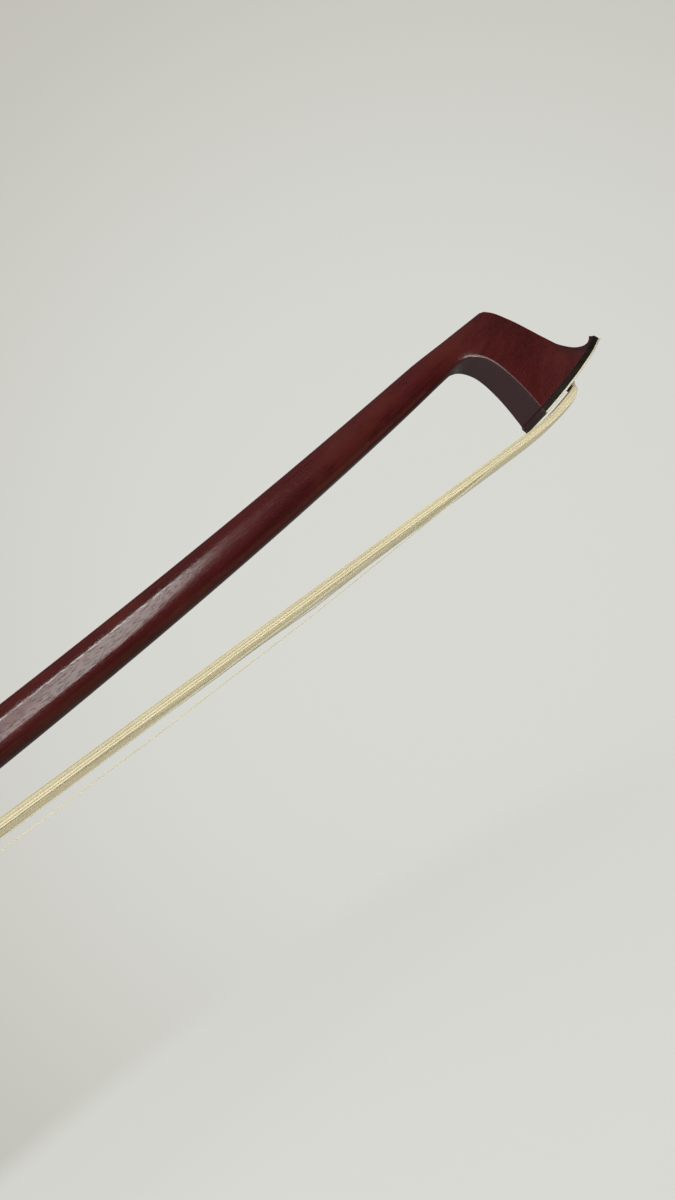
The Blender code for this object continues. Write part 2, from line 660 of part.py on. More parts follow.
def make_hair():
    """The ribbon: out of the head's mortise, back along the bow and up into the frog's mortise."""
    packed = HAIR_PACKED_THICKNESS / 2
    loose = HAIR_THICKNESS / 2
    head_half = HEAD_MORTISE_HALF_WIDTH - SEAT_GAP
    rise_x = HEAD_MORTISE_FRONT - packed - SEAT_GAP
    top_z = HEAD_MORTISE_TOP - 2 * HEAD_KNOT_RADIUS - 2 * SEAT_GAP
    bulge_x = rise_x + HAIR_BULGE_FORWARD
    start = from_head(rise_x, 0, top_z)
    bulge = from_head(bulge_x, 0, face_height(bulge_x) - HAIR_BULGE_DROP)
    level = from_head(PLATE_START, 0, face_height(PLATE_START) - HAIR_GAP_UNDER_PLATE - loose)
    mortise_half = FROG_MORTISE_HALF_WIDTH - SEAT_GAP
    rear_x = FROG_MORTISE_REAR_X + packed + 2 * SEAT_GAP
    corners = [
        (start.x, start.z, 0, head_half, packed),
        (bulge.x, bulge.z, HAIR_BULGE_RADIUS, head_half, packed),
        (level.x, level.z, HAIR_LEVEL_RADIUS, HAIR_HALF_WIDTH_AT_HEAD, loose),
        (0.0, MOUTH_HAIR_Z, HAIR_FERRULE_RADIUS, HAIR_HALF_WIDTH_AT_FERRULE, loose),
        (-FERRULE_LENGTH, CHANNEL_HAIR_Z, HAIR_FERRULE_RADIUS, HAIR_HALF_WIDTH_IN_CHANNEL, loose),
        (rear_x, CHANNEL_HAIR_Z, HAIR_MORTISE_RADIUS, mortise_half, packed),
        (rear_x, FROG_KNOT_Z - FROG_KNOT_RADIUS - SEAT_GAP, 0, mortise_half, packed),
    ]
    rows = rounded_path(corners)
    rings = []
    for k, (x, z, half_width, half_thick) in enumerate(rows):
        before = rows[max(k - 1, 0)]
        after = rows[min(k + 1, len(rows) - 1)]
        along = Vector((after[0] - before[0], after[1] - before[1])).normalized()
        side = Vector((-along.y, along.x)) * half_thick
        rings.append([(x + side.x, half_width, z + side.y), (x + side.x, -half_width, z + side.y),
                      (x - side.x, -half_width, z - side.y), (x - side.x, half_width, z - side.y)])
    add_object("hair_ribbon", loft("hair_ribbon", rings), HORSEHAIR)


# Grip

def sleeve(name, start_x, end_x, thickness, material):
    """A tube wrapped on the stick, following its section from flats to round."""
    stations = np.linspace(start_x, end_x, 2 + ceil((end_x - start_x) / SLEEVE_STEP))
    outer = [stick_ring(x, grow=SEAT_GAP + thickness) for x in stations]
    inner = [stick_ring(x, grow=SEAT_GAP) for x in stations]
    return add_object(name, loft(name, outer + inner[::-1], closed=True), material)


def make_grip():
    leather_start = FROG_NOSE_X + FROG_TRAVEL_FORWARD + 2 * SEAT_GAP
    leather_end = leather_start + LEATHER_LENGTH
    sleeve("thumb_leather", leather_start, leather_end, LEATHER_THICKNESS, LEATHER)
    winding_start = leather_end + SEAT_GAP
    sleeve("grip_winding", winding_start, winding_start + WINDING_LENGTH, WINDING_THICKNESS, SILVER)


# Frog

def frog_half_width(z):
    """Half the frog's width at height z; its sides are flat and lean in towards the stick."""
    share = (z - FROG_BOTTOM_Z) / (FROG_TOP_Z - FROG_BOTTOM_Z)
    return FROG_BOTTOM_HALF_WIDTH + (FROG_TOP_HALF_WIDTH - FROG_BOTTOM_HALF_WIDTH) * share


def lean_sides(item):
    """Draws a board's two faces in to the frog's width at each height."""
    for vertex in item.data.vertices:
        vertex.co.y = (1 if vertex.co.y > 0 else -1) * frog_half_width(vertex.co.z)


def octagon(apothem):
    """An octagon of (y, z) points with a flat facing down."""
    corner = apothem / cos(pi / 8)
    return [(corner * cos(pi / 8 + k * pi / 4), corner * sin(pi / 8 + k * pi / 4)) for k in range(8)]


def ferrule_section(inset, floor_z=None):
    """The ferrule's D shape drawn in by an inset, in (y, z) points.

    A half ellipse stands on short upright sides with rounded corners on a flat floor; where
    a floor above the sides is given, the shape is the part of the ellipse above it."""
    half_width = FERRULE_HALF_WIDTH - inset
    spring = FROG_BOTTOM_Z + FERRULE_SPRING_HEIGHT
    height = FERRULE_HEIGHT - FERRULE_SPRING_HEIGHT - inset
    if floor_z:
        first = asin((floor_z - spring) / height)
        return [(half_width * cos(a), spring + height * sin(a)) for a in np.linspace(first, pi - first, 15)]
    radius = FERRULE_CORNER_RADIUS - inset
    floor = FROG_BOTTOM_Z + inset
    arch = [(half_width * cos(a), spring + height * sin(a)) for a in np.linspace(0, pi, 17)]
    left = [(-half_width + radius - radius * cos(a), floor + radius - radius * sin(a))
            for a in np.linspace(0, pi / 2, 4)]
    return arch + left + [(-y, z) for y, z in left[::-1]]


def make_frog_body(frog):
    ferrule_top = FROG_BOTTOM_Z + FERRULE_HEIGHT
    front = -FERRULE_LENGTH - SEAT_GAP
    nose_bottom = FROG_TOP_Z - NOSE_DEPTH
    cut_back = FROG_NOSE_X - THUMB_CUT_DEPTH
    thumb_cut = bezier(((front, ferrule_top), (cut_back, ferrule_top),
                        (cut_back, nose_bottom), (FROG_NOSE_X - NOSE_BEVEL, nose_bottom)), 13)
    points = [(FROG_REAR_X, FROG_TOP_Z), (FROG_REAR_X, FROG_BOTTOM_Z), (front, FROG_BOTTOM_Z),
              *map(tuple, thumb_cut), (FROG_NOSE_X, FROG_TOP_Z - NOSE_FACE), (FROG_NOSE_X, FROG_TOP_Z)]
    body = extrude("frog_body", [points], -FROG_BOTTOM_HALF_WIDTH, FROG_BOTTOM_HALF_WIDTH, 'Y', EBONY, frog)
    lean_sides(body)
    tongue = extrude("frog_tongue_shape", [ferrule_section(FERRULE_WALL + SEAT_GAP, TONGUE_BOTTOM_Z)],
                     front - TONGUE_ROOT, -2 * SEAT_GAP, 'X', parent=frog)
    join = body.modifiers.new("tongue", 'BOOLEAN')
    join.operation = 'UNION'
    join.solver = 'EXACT'
    join.object = tongue
    channel_rear = FROG_REAR_X + HEEL_LENGTH
    seat_shape = octagon(HANDLE_FLATS / 2 + 2 * SEAT_GAP + UNDERSLIDE_THICKNESS)
    stick_seat = extrude("frog_top_cutter", [seat_shape], FROG_REAR_X - OVERCUT, FROG_NOSE_X + OVERCUT, 'X',
                         parent=frog)
    channel = box("hair_channel_cutter", (channel_rear, -CHANNEL_HALF_WIDTH, FROG_BOTTOM_Z - OVERCUT),
                  (front + OVERCUT, CHANNEL_HALF_WIDTH, CHANNEL_TOP_Z), parent=frog)
    mortise = box("frog_mortise_cutter", (FROG_MORTISE_REAR_X, -FROG_MORTISE_HALF_WIDTH, FROG_BOTTOM_Z),
                  (FROG_MORTISE_FRONT_X, FROG_MORTISE_HALF_WIDTH, FROG_MORTISE_TOP_Z), parent=frog)
    wide = 2 * FROG_BOTTOM_HALF_WIDTH
    heel_depth = HEEL_THICKNESS + SEAT_GAP
    heel_bottom = box("heel_bottom_cutter", (FROG_REAR_X - OVERCUT, -wide, FROG_BOTTOM_Z - OVERCUT),
                      (channel_rear, wide, FROG_BOTTOM_Z + heel_depth), parent=frog)
    heel_back = box("heel_back_cutter", (FROG_REAR_X - OVERCUT, -wide, FROG_BOTTOM_Z - OVERCUT),
                    (FROG_REAR_X + heel_depth, wide, HEEL_BACK_TOP_Z + SEAT_GAP), parent=frog)
    stem = rod("eyelet_stem_cutter", EYELET_STEM_RADIUS + SEAT_GAP,
               (EYELET_X, 0, EYELET_STEM_BOTTOM_Z - SEAT_GAP), (EYELET_X, 0, 0), parent=frog)
    cut(body, stick_seat, channel, mortise, heel_bottom, heel_back, stem)
    return body, stem


def make_underslide(frog, body, stem_cutter):
    """Folded sheet between the frog and three flats of the stick, held by two pins."""
    inner = HANDLE_FLATS / 2 + SEAT_GAP
    outer = inner + UNDERSLIDE_THICKNESS
    lip_top = UNDERSLIDE_HALF_WIDTH - inner * (1 + tan(pi / 8))
    lip = UNDERSLIDE_THICKNESS / sqrt(2)
    half = [(inner * tan(pi / 8), -inner), (UNDERSLIDE_HALF_WIDTH, lip_top),
            (UNDERSLIDE_HALF_WIDTH + lip, lip_top - lip), (outer * tan(pi / 8), -outer)]
    section = half + [(-y, z) for y, z in half[::-1]]
    start = FROG_REAR_X + SEAT_GAP
    end = FROG_NOSE_X
    sheet = extrude("underslide", [section], start, end, 'X', SILVER, frog)
    cut(sheet, stem_cutter)
    for name, x in (("rear", start + UNDERSLIDE_PIN_INSET), ("front", end - UNDERSLIDE_PIN_INSET)):
        low = -outer - UNDERSLIDE_PIN_LENGTH
        hole = rod("underslide_pin_cutter_" + name, UNDERSLIDE_PIN_RADIUS + PIN_GAP,
                   (x, 0, low - SEAT_GAP), (x, 0, 0), parent=frog, sides=16)
        cut(sheet, hole)
        cut(body, hole)
        rod("underslide_pin_" + name, UNDERSLIDE_PIN_RADIUS, (x, 0, low), (x, 0, -inner),
            SILVER, frog, sides=16)


def make_ferrule(frog):
    """The D-shaped ring round the frog's tongue, and the wedge that spreads the hair in it."""
    extrude("ferrule", [ferrule_section(0.0), ferrule_section(FERRULE_WALL)], -FERRULE_LENGTH, 0.0, 'X',
            SILVER, frog)
    slope = (CHANNEL_HAIR_Z - MOUTH_HAIR_Z) / FERRULE_LENGTH
    front_x = -2 * SEAT_GAP
    rear_x = front_x - WEDGE_LENGTH
    lift = HAIR_THICKNESS / 2 + 2 * SEAT_GAP
    wedge_top = TONGUE_BOTTOM_Z - SEAT_GAP
    points = [(front_x, MOUTH_HAIR_Z - slope * front_x + lift), (front_x, wedge_top),
              (rear_x, wedge_top), (rear_x, MOUTH_HAIR_Z - slope * rear_x + lift)]
    extrude("spreader_wedge", [points], -WEDGE_HALF_WIDTH, WEDGE_HALF_WIDTH, 'Y', MAPLE, frog)


def make_slide_and_plug(frog):
    """Pearl slide on its backing in the hair channel, and the plug and knot in the mortise."""
    slide_rear = FROG_REAR_X + HEEL_LENGTH + SEAT_GAP
    slide_front = -FERRULE_LENGTH - SEAT_GAP
    half = CHANNEL_HALF_WIDTH - SEAT_GAP
    pearl_top = FROG_BOTTOM_Z + PEARL_THICKNESS
    backing_low = pearl_top + GLUE_GAP
    box("pearl_slide", (slide_rear, -half, FROG_BOTTOM_Z), (slide_front, half, pearl_top), PEARL, frog)
    box("slide_backing", (slide_rear, -half, backing_low), (slide_front, half, backing_low + BACKING_THICKNESS),
        EBONY, frog)
    knot_half = FROG_MORTISE_HALF_WIDTH - SEAT_GAP
    rod("frog_hair_knot", FROG_KNOT_RADIUS, (FROG_KNOT_X, -knot_half, FROG_KNOT_Z),
        (FROG_KNOT_X, knot_half, FROG_KNOT_Z), HORSEHAIR, frog, sides=16)
    plug_rear = FROG_KNOT_X + FROG_KNOT_RADIUS + SEAT_GAP
    box("frog_plug", (plug_rear, -knot_half, CHANNEL_TOP_Z + GLUE_GAP),
        (FROG_MORTISE_FRONT_X - SEAT_GAP, knot_half, FROG_MORTISE_TOP_Z - SEAT_GAP), MAPLE, frog)


def make_heel(frog, body):
    """Silver plates under and behind the frog's heel, each held by pins."""
    bottom_top = FROG_BOTTOM_Z + HEEL_THICKNESS
    half = frog_half_width(FROG_BOTTOM_Z)
    bottom = box("heel_plate_bottom", (FROG_REAR_X, -half, FROG_BOTTOM_Z),
                 (FROG_REAR_X + HEEL_LENGTH - SEAT_GAP, half, bottom_top), SILVER, frog)
    back_low = bottom_top + GLUE_GAP
    low_half = frog_half_width(back_low)
    high_half = frog_half_width(HEEL_BACK_TOP_Z)
    back_shape = [(-low_half, back_low), (low_half, back_low),
                  (high_half, HEEL_BACK_TOP_Z), (-high_half, HEEL_BACK_TOP_Z)]
    back = extrude("heel_plate_back", [back_shape], FROG_REAR_X, FROG_REAR_X + HEEL_THICKNESS, 'X',
                   SILVER, frog)
    pin_inset = (HEEL_BACK_TOP_Z - back_low) / 4
    middle_x = FROG_REAR_X + HEEL_LENGTH / 2
    pins = (("bottom", bottom, (middle_x, 0, FROG_BOTTOM_Z), (0, 0, 1)),
            ("back_low", back, (FROG_REAR_X, 0, back_low + pin_inset), (1, 0, 0)),
            ("back_high", back, (FROG_REAR_X, 0, HEEL_BACK_TOP_Z - pin_inset), (1, 0, 0)))
    for name, plate, start, direction in pins:
        inward = Vector(direction)
        start = Vector(start)
        end = start + inward * HEEL_PIN_LENGTH
        hole = rod("heel_pin_cutter_" + name, HEEL_PIN_RADIUS + PIN_GAP, start - inward * OVERCUT,
                   end + inward * SEAT_GAP, parent=frog, sides=16)
        cut(plate, hole)
        cut(body, hole)
        rod("heel_pin_" + name, HEEL_PIN_RADIUS, start, end, SILVER, frog, sides=16)


def make_eyes(frog, body):
    """A pearl disc in a silver ring, let into each side of the frog."""
    lean = atan((FROG_BOTTOM_HALF_WIDTH - FROG_TOP_HALF_WIDTH) / (FROG_TOP_Z - FROG_BOTTOM_Z))
    for name, side in (("near", -1), ("far", 1)):
        face = Vector((EYE_X, side * frog_half_width(EYE_Z), EYE_Z))
        out = Vector((0, side * cos(lean), sin(lean)))
        inside = face - out * EYE_THICKNESS
        pocket = rod("eye_pocket_cutter_" + name, EYE_RING_RADIUS + PIN_GAP, inside - out * SEAT_GAP,
                     face + out * OVERCUT, parent=frog, sides=32)
        cut(body, pocket)
        ring = rod("eye_ring_" + name, EYE_RING_RADIUS, inside, face, SILVER, frog, sides=32)
        hole = rod("eye_ring_cutter_" + name, EYE_RADIUS + PIN_GAP, inside - out * OVERCUT,
                   face + out * OVERCUT, parent=frog, sides=32)
        cut(ring, hole)
        rod("eye_" + name, EYE_RADIUS, inside, face, PEARL, frog, sides=32)


def make_eyelet(frog):
    """Brass nut on a stem in the frog; the screw runs through it and draws it along the slot."""
    head_low = -HANDLE_FLATS / 2 + SEAT_GAP
    nut = box("eyelet", (EYELET_X - EYELET_LENGTH / 2, -EYELET_HALF_WIDTH, head_low),
              (EYELET_X + EYELET_LENGTH / 2, EYELET_HALF_WIDTH, EYELET_TOP_Z), BRASS, frog)
    stem = rod("eyelet_stem_shape", EYELET_STEM_RADIUS, (EYELET_X, 0, EYELET_STEM_BOTTOM_Z),
               (EYELET_X, 0, head_low + EYELET_STEM_ROOT), parent=frog)
    join = nut.modifiers.new("stem", 'BOOLEAN')
    join.operation = 'UNION'
    join.solver = 'EXACT'
    join.object = stem
    bore = rod("eyelet_bore_cutter", SCREW_RADIUS + PIN_GAP, (EYELET_X - EYELET_LENGTH, 0, 0),
               (EYELET_X + EYELET_LENGTH, 0, 0), parent=frog)
    cut(nut, bore)


# Adjusting screw and button

def make_button(axis):
    """Screw, two octagonal silver collars, an ebony barrel between them and a pearl eye."""
    front = -SEAT_GAP
    end = front - BUTTON_LENGTH
    collar_rear = front - COLLAR_LENGTH
    cap_front = end + COLLAR_LENGTH
    barrel_front = collar_rear - GLUE_GAP
    barrel_rear = cap_front + GLUE_GAP
    tang_end = barrel_rear + SEAT_GAP
    tip = SCREW_TIP_X - STICK_REAR_X
    thread_start = tip - SCREW_THREAD_LENGTH
    pilot_start = tip - SCREW_PILOT_LENGTH
    bevel = BUTTON_BEVEL
    turned("adjusting_screw",
           [(0, tip), (SCREW_PILOT_RADIUS - bevel, tip), (SCREW_PILOT_RADIUS, tip - bevel),
            (SCREW_PILOT_RADIUS, pilot_start), (SCREW_RADIUS, pilot_start - bevel),
            (SCREW_RADIUS, thread_start), (SCREW_SHANK_RADIUS, thread_start - bevel),
            (SCREW_SHANK_RADIUS, tang_end), (0, tang_end)],
           STEEL, axis, sides=24)
    to_corner = 1 / cos(pi / 8)
    half = BUTTON_FLATS / 2 * to_corner
    slim = BARREL_FLATS / 2 * to_corner
    bore = SCREW_SHANK_RADIUS + SEAT_GAP
    recess = NIPPLE_RADIUS + SEAT_GAP
    recess_end = -NIPPLE_LENGTH - SEAT_GAP
    turned("button_front_collar",
           [(recess, front), (half - bevel, front), (half, front - bevel), (half, collar_rear + bevel),
            (half - bevel, collar_rear), (bore, collar_rear), (bore, recess_end), (recess, recess_end)],
           SILVER, axis, sides=8, first_angle=pi / 8, is_ring=True)
    middle = (barrel_front + barrel_rear) / 2
    turned("button_barrel",
           [(bore, barrel_front), (slim, barrel_front), (slim + BARREL_SWELL, middle), (slim, barrel_rear),
            (bore, barrel_rear)],
           EBONY, axis, sides=8, first_angle=pi / 8, is_ring=True)
    cap = turned("button_rear_collar",
                 [(0, cap_front), (half - bevel, cap_front), (half, cap_front - bevel), (half, end + 2 * bevel),
                  (half - 2 * bevel, end), (0, end)],
                 SILVER, axis, sides=8, first_angle=pi / 8)
    eye_seat = rod("button_eye_cutter", BUTTON_EYE_RADIUS + PIN_GAP,
                   (end + BUTTON_EYE_THICKNESS + GLUE_GAP, 0, 0), (end - OVERCUT, 0, 0), parent=axis, sides=32)
    cut(cap, eye_seat)
    rod("button_eye", BUTTON_EYE_RADIUS, (end + BUTTON_EYE_THICKNESS, 0, 0), (end, 0, 0), PEARL, axis, sides=32)


def build():
    head_empty = add_empty("head_frame", HEAD_ORIGIN, HEAD_ANGLE)
    frog = add_empty("frog_frame", (0, 0, 0))
    screw_axis = add_empty("screw_frame", (STICK_REAR_X, 0, 0))
    mortise = make_stick(head_empty)
    make_head_fittings(head_empty, mortise)
    make_hair()
    make_grip()
    body, stem_cutter = make_frog_body(frog)
    make_underslide(frog, body, stem_cutter)
    make_ferrule(frog)
    make_slide_and_plug(frog)
    make_heel(frog, body)
    make_eyes(frog, body)
    make_eyelet(frog)
    make_button(screw_axis)
    bpy.context.view_layer.update()


build()
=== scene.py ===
"""The finish of a viola bow: its wood, horsehair, bone, ebony, silver, pearl and leather,
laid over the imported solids, with the light and the view of the photograph.

The adjusting screw's axis is the X axis, +X towards the tip, +Z from the hair to the stick.
The origin is on that axis, straight above the mouth of the ferrule. Lengths are metres."""
import bmesh
import bpy
import json
import numpy as np
from math import atan, cos, pi, radians, sin
from mathutils import Matrix, Vector


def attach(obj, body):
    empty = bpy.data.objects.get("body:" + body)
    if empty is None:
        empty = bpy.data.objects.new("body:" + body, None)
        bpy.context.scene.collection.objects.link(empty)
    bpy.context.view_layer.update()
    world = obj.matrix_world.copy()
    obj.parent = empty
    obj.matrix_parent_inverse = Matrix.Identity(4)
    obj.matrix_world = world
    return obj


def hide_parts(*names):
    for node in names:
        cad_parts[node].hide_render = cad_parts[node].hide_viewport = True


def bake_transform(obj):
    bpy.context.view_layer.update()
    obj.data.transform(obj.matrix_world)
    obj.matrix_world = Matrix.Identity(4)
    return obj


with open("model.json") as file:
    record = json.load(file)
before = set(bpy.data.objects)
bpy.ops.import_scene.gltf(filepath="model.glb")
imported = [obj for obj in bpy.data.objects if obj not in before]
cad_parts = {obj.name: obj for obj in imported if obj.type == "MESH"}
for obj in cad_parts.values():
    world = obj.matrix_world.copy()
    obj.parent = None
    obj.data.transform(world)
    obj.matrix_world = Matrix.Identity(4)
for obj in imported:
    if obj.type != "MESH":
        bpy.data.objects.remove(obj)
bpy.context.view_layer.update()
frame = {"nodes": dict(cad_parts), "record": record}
scene = bpy.context.scene


# Camera. The photograph is taken from 16 cm in front of the head, level with the hair, with
# the picture rolled so that the bow climbs from the lower left to the upper right.

VIEW_PLACE = Vector((0.54374, -0.14497, -0.00883))
VIEW_FORWARD = Vector((0.36934, 0.92382, 0.10072)).normalized()
VIEW_RIGHT = Vector((0.77790, -0.24806, -0.57734)).normalized()
VIEW_UP = VIEW_RIGHT.cross(VIEW_FORWARD)


def put_in_scene(name, data):
    """A new object of the scene."""
    item = bpy.data.objects.new(name, data)
    scene.collection.objects.link(item)
    return item


eye = bpy.data.cameras.new("view")
eye.lens = 30.0
eye.sensor_width = 36.0
eye.clip_start = 0.005
eye.clip_end = 50.0
view = put_in_scene("view", eye)
view.matrix_world = Matrix.Translation(VIEW_PLACE) @ Matrix(
    (VIEW_RIGHT, VIEW_UP, -VIEW_FORWARD)).transposed().to_4x4()
scene.camera = view
scene.view_settings.view_transform = 'Standard'


# Room. A plain pale backdrop all round, and a pale floor 0.28 m under the bow, darker where
# something mirrors it. A large window on the shown side gives most of the light, a low card
# lights the polish from below, and weaker light comes from above and from the far side.

BACKDROP_COLOUR = (0.69, 0.69, 0.655)
BACKDROP_EDGE_COLOUR = (0.54, 0.53, 0.48)
FLOOR_COLOUR = (0.80, 0.80, 0.77)
FLOOR_MIRRORED_COLOUR = (0.32, 0.32, 0.31)
FLOOR_PLACE = (0.45, 0.95, -0.28)
FLOOR_RADIUS = 1.0
FLOOR_GLOW_SHARE = 0.85


def feed(tree, node, inputs):
    """Gives a node's inputs, by name or number, their values or the sockets that feed them.

    A colour is given as red, green and blue."""
    for key, value in inputs.items():
        socket = node.inputs[key]
        if isinstance(value, bpy.types.NodeSocket):
            tree.links.new(value, socket)
        else:
            socket.default_value = (*value, 1) if socket.type == 'RGBA' else value


def add_node(tree, kind, inputs, output=0, **settings):
    """A node with its own settings and what goes into it; gives back what comes out."""
    node = tree.nodes.new('ShaderNode' + kind)
    for name, value in settings.items():
        setattr(node, name, value)
    feed(tree, node, inputs)
    return node.outputs[output]


def maths(tree, operation, *values):
    """A sum, a product or another operation on the values."""
    return add_node(tree, 'Math', dict(enumerate(values)), operation=operation)


def mix(tree, share, first, second, blend='MIX'):
    """The first colour turned into the second, or blended with it, by the share."""
    return add_node(tree, 'MixRGB', {"Fac": share, "Color1": first, "Color2": second}, blend_type=blend)


def ramp(tree, share, *stops, easing='LINEAR'):
    """A colour that runs through the stops, each a share and its colour."""
    node = tree.nodes.new('ShaderNodeValToRGB')
    feed(tree, node, {"Fac": share})
    node.color_ramp.interpolation = easing
    elements = node.color_ramp.elements
    for k, (position, colour) in enumerate(stops):
        stop = elements[k] if k < 2 else elements.new(1.0)
        stop.position = position
        stop.color = (*colour, 1)
    return node.outputs["Color"]


def ranged(tree, value, low, high, to_low=0.0, to_high=1.0, easing='LINEAR'):
    """The value carried from one range to another and held at its ends."""
    inputs = {"Value": value, "From Min": low, "From Max": high, "To Min": to_low, "To Max": to_high}
    return add_node(tree, 'MapRange', inputs, interpolation_type=easing)


def object_place(tree):
    """Where a point is in its own object."""
    return add_node(tree, 'TexCoord', {}, "Object")


def ray_kinds(tree):
    """Whether a ray comes straight from the camera, and whether it comes off something polished."""
    camera, through, polished = [add_node(tree, 'LightPath', {}, "Is " + kind + " Ray")
                                 for kind in ("Camera", "Transmission", "Glossy")]
    return maths(tree, 'MAXIMUM', camera, through), polished


def once_round(count):
    """Angles spread evenly round a circle, the first at 0."""
    return np.linspace(0, 2 * pi, count, endpoint=False)


def add_area_light(name, place, target, width, height, radiance, colour, mirrored=True, lighting=True):
    """A rectangle of light, its longer stretch along X, that shines at the target.

    One that isn't mirrored gives no highlight; one that isn't lighting gives nothing else."""
    lamp = bpy.data.lights.new(name, 'AREA')
    lamp.shape = 'RECTANGLE'
    lamp.size = width
    lamp.size_y = height
    lamp.energy = radiance * pi * width * height
    lamp.color = colour
    item = put_in_scene(name, lamp)
    back = (Vector(place) - Vector(target)).normalized()
    side = Vector((0, 0, 1)).cross(back).normalized()
    turn = Matrix((side, back.cross(side), back)).transposed().to_4x4()
    item.matrix_world = Matrix.Translation(place) @ turn
    item.visible_camera = False
    item.visible_glossy = mirrored
    item.visible_diffuse = lighting


add_area_light("window", (0.20, -0.50, 0.20), (0.20, 0.0, 0.20), 0.79, 0.90, 2.6, (1.0, 0.965, 0.945))
add_area_light("window_near_tip", (0.665, -0.50, 0.20), (0.665, 0.0, 0.20), 0.14, 0.90, 4.5,
               (0.99, 0.99, 0.95))
add_area_light("transom", (0.27, -0.499, 0.585), (0.27, 0.0, 0.585), 0.92, 0.12, 7.5, (0.99, 1.0, 0.92))
add_area_light("low_card", (0.44, -0.50, -0.43), (0.64, 0.0, 0.03), 0.30, 0.14, 15.0, (1.0, 0.96, 0.93),
               lighting=False)
add_area_light("sky", (0.30, 0.25, 0.90), (0.30, 0.0, 0.0), 1.2, 0.7, 0.35, (0.95, 0.98, 1.0), False)
add_area_light("far_window", (0.30, 0.90, 0.25), (0.30, 0.0, 0.0), 0.9, 0.5, 0.9, (0.96, 0.98, 1.0), False)

world = bpy.data.worlds.new("room")
scene.world = world
world.use_nodes = True
room = world.node_tree
room.nodes.clear()
ray_run = add_node(room, 'TexCoord', {}, "Generated")


def glow_towards(direction, start, dim, end, bright):
    """A colour that turns from dim to bright as a ray comes round to the direction."""
    toward = add_node(room, 'VectorMath', {0: ray_run, 1: Vector(direction).normalized()}, "Value",
                      operation='DOT_PRODUCT')
    return ramp(room, toward, (start, dim), (end, bright), easing='EASE')


facing = glow_towards(VIEW_FORWARD - Vector((0, 0, 0.5)), 0.92, (0.0, 0.0, 0.0), 0.995, BACKDROP_COLOUR)
above = glow_towards((0, -0.3, 1), -0.3, (0.018, 0.017, 0.018), 1.0, (0.10, 0.098, 0.096))
below = glow_towards((0, -0.3, -1), 0.0, (0.35, 0.35, 0.345), 1.0, (0.85, 0.85, 0.82))
seen = glow_towards(VIEW_FORWARD + 0.10 * VIEW_RIGHT, 0.76, BACKDROP_EDGE_COLOUR, 1.0, BACKDROP_COLOUR)
direct, polished = ray_kinds(room)
unseen = mix(room, polished, below, mix(room, 1.0, facing, above, 'ADD'))
glow = add_node(room, 'Background', {"Color": mix(room, direct, unseen, seen), "Strength": 1.0})
feed(room, room.nodes.new('ShaderNodeOutputWorld'), {"Surface": glow})

floor_disc = bpy.data.meshes.new("floor")
turn = once_round(96)
rim = np.column_stack([np.cos(turn), np.sin(turn), 0 * turn]) * FLOOR_RADIUS + FLOOR_PLACE
floor_disc.from_pydata(rim.tolist(), [], [list(range(len(rim)))])
paint = bpy.data.materials.new("floor_paint")
paint.use_nodes = True
tree = paint.node_tree
tree.nodes.clear()
apart = add_node(tree, 'VectorMath', {0: object_place(tree), 1: FLOOR_PLACE}, "Value", operation='DISTANCE')
faded = ranged(tree, apart, 0.62 * FLOOR_RADIUS, 0.97 * FLOOR_RADIUS, easing='SMOOTHSTEP')
direct, polished = ray_kinds(tree)
matt = add_node(tree, 'BsdfDiffuse', {"Color": mix(tree, polished, FLOOR_COLOUR, FLOOR_MIRRORED_COLOUR)})
pale = add_node(tree, 'Emission', {"Color": BACKDROP_COLOUR, "Strength": 1.04})
clear = add_node(tree, 'BsdfTransparent', {})
middle = add_node(tree, 'MixShader', {0: maths(tree, 'MULTIPLY', direct, FLOOR_GLOW_SHARE), 1: matt, 2: pale})
feed(tree, tree.nodes.new('ShaderNodeOutputMaterial'),
     {"Surface": add_node(tree, 'MixShader', {0: faded, 1: middle, 2: clear})})
floor_disc.materials.append(paint)
floor = put_in_scene("floor", floor_disc)


# Stick. One piece of heat-bent pernambuco, planed to an octagon on the handle and round on the
# shaft, with the head carved from the same wood. French polish gives it a thin clear gloss.
# The rear is bored for the screw and slotted for the eyelet, the head mortised for the hair.

MM = 0.001
STICK_REAR_X = -54.0 * MM
HANDLE_FLATS = 8.7 * MM
OCTAGON_END_X = 55.0 * MM
ROUND_START_X = 105.0 * MM
CAMBER_START_X = 80.0 * MM
CAMBER_RISE = 31.07 * MM
CAMBER_POWER = 3.52
NECK_X = 638.4 * MM
NECK_DIAMETER = 5.66 * MM
TAPER_QUICKNESS = 37.0
TAPER_CURVED_SHARE = 0.74
NIPPLE_RADIUS = 2.6 * MM
NIPPLE_LENGTH = 1.6 * MM


def smooth_step(u):
    """3 u^2 - 2 u^3, held at 0 before and at 1 after."""
    u = np.clip(u, 0.0, 1.0)
    return u * u * (3 - 2 * u)


def axis_height(x):
    """Height of the stick's centre line: zero on the handle, then a power curve up to the neck."""
    u = np.maximum(x - CAMBER_START_X, 0.0) / (NECK_X - CAMBER_START_X)
    return CAMBER_RISE * u ** CAMBER_POWER


def axis_slope(x):
    """Rise of the centre line per length, the derivative of its height."""
    length = NECK_X - CAMBER_START_X
    u = np.maximum(x - CAMBER_START_X, 0.0) / length
    return CAMBER_RISE * CAMBER_POWER * u ** (CAMBER_POWER - 1) / length


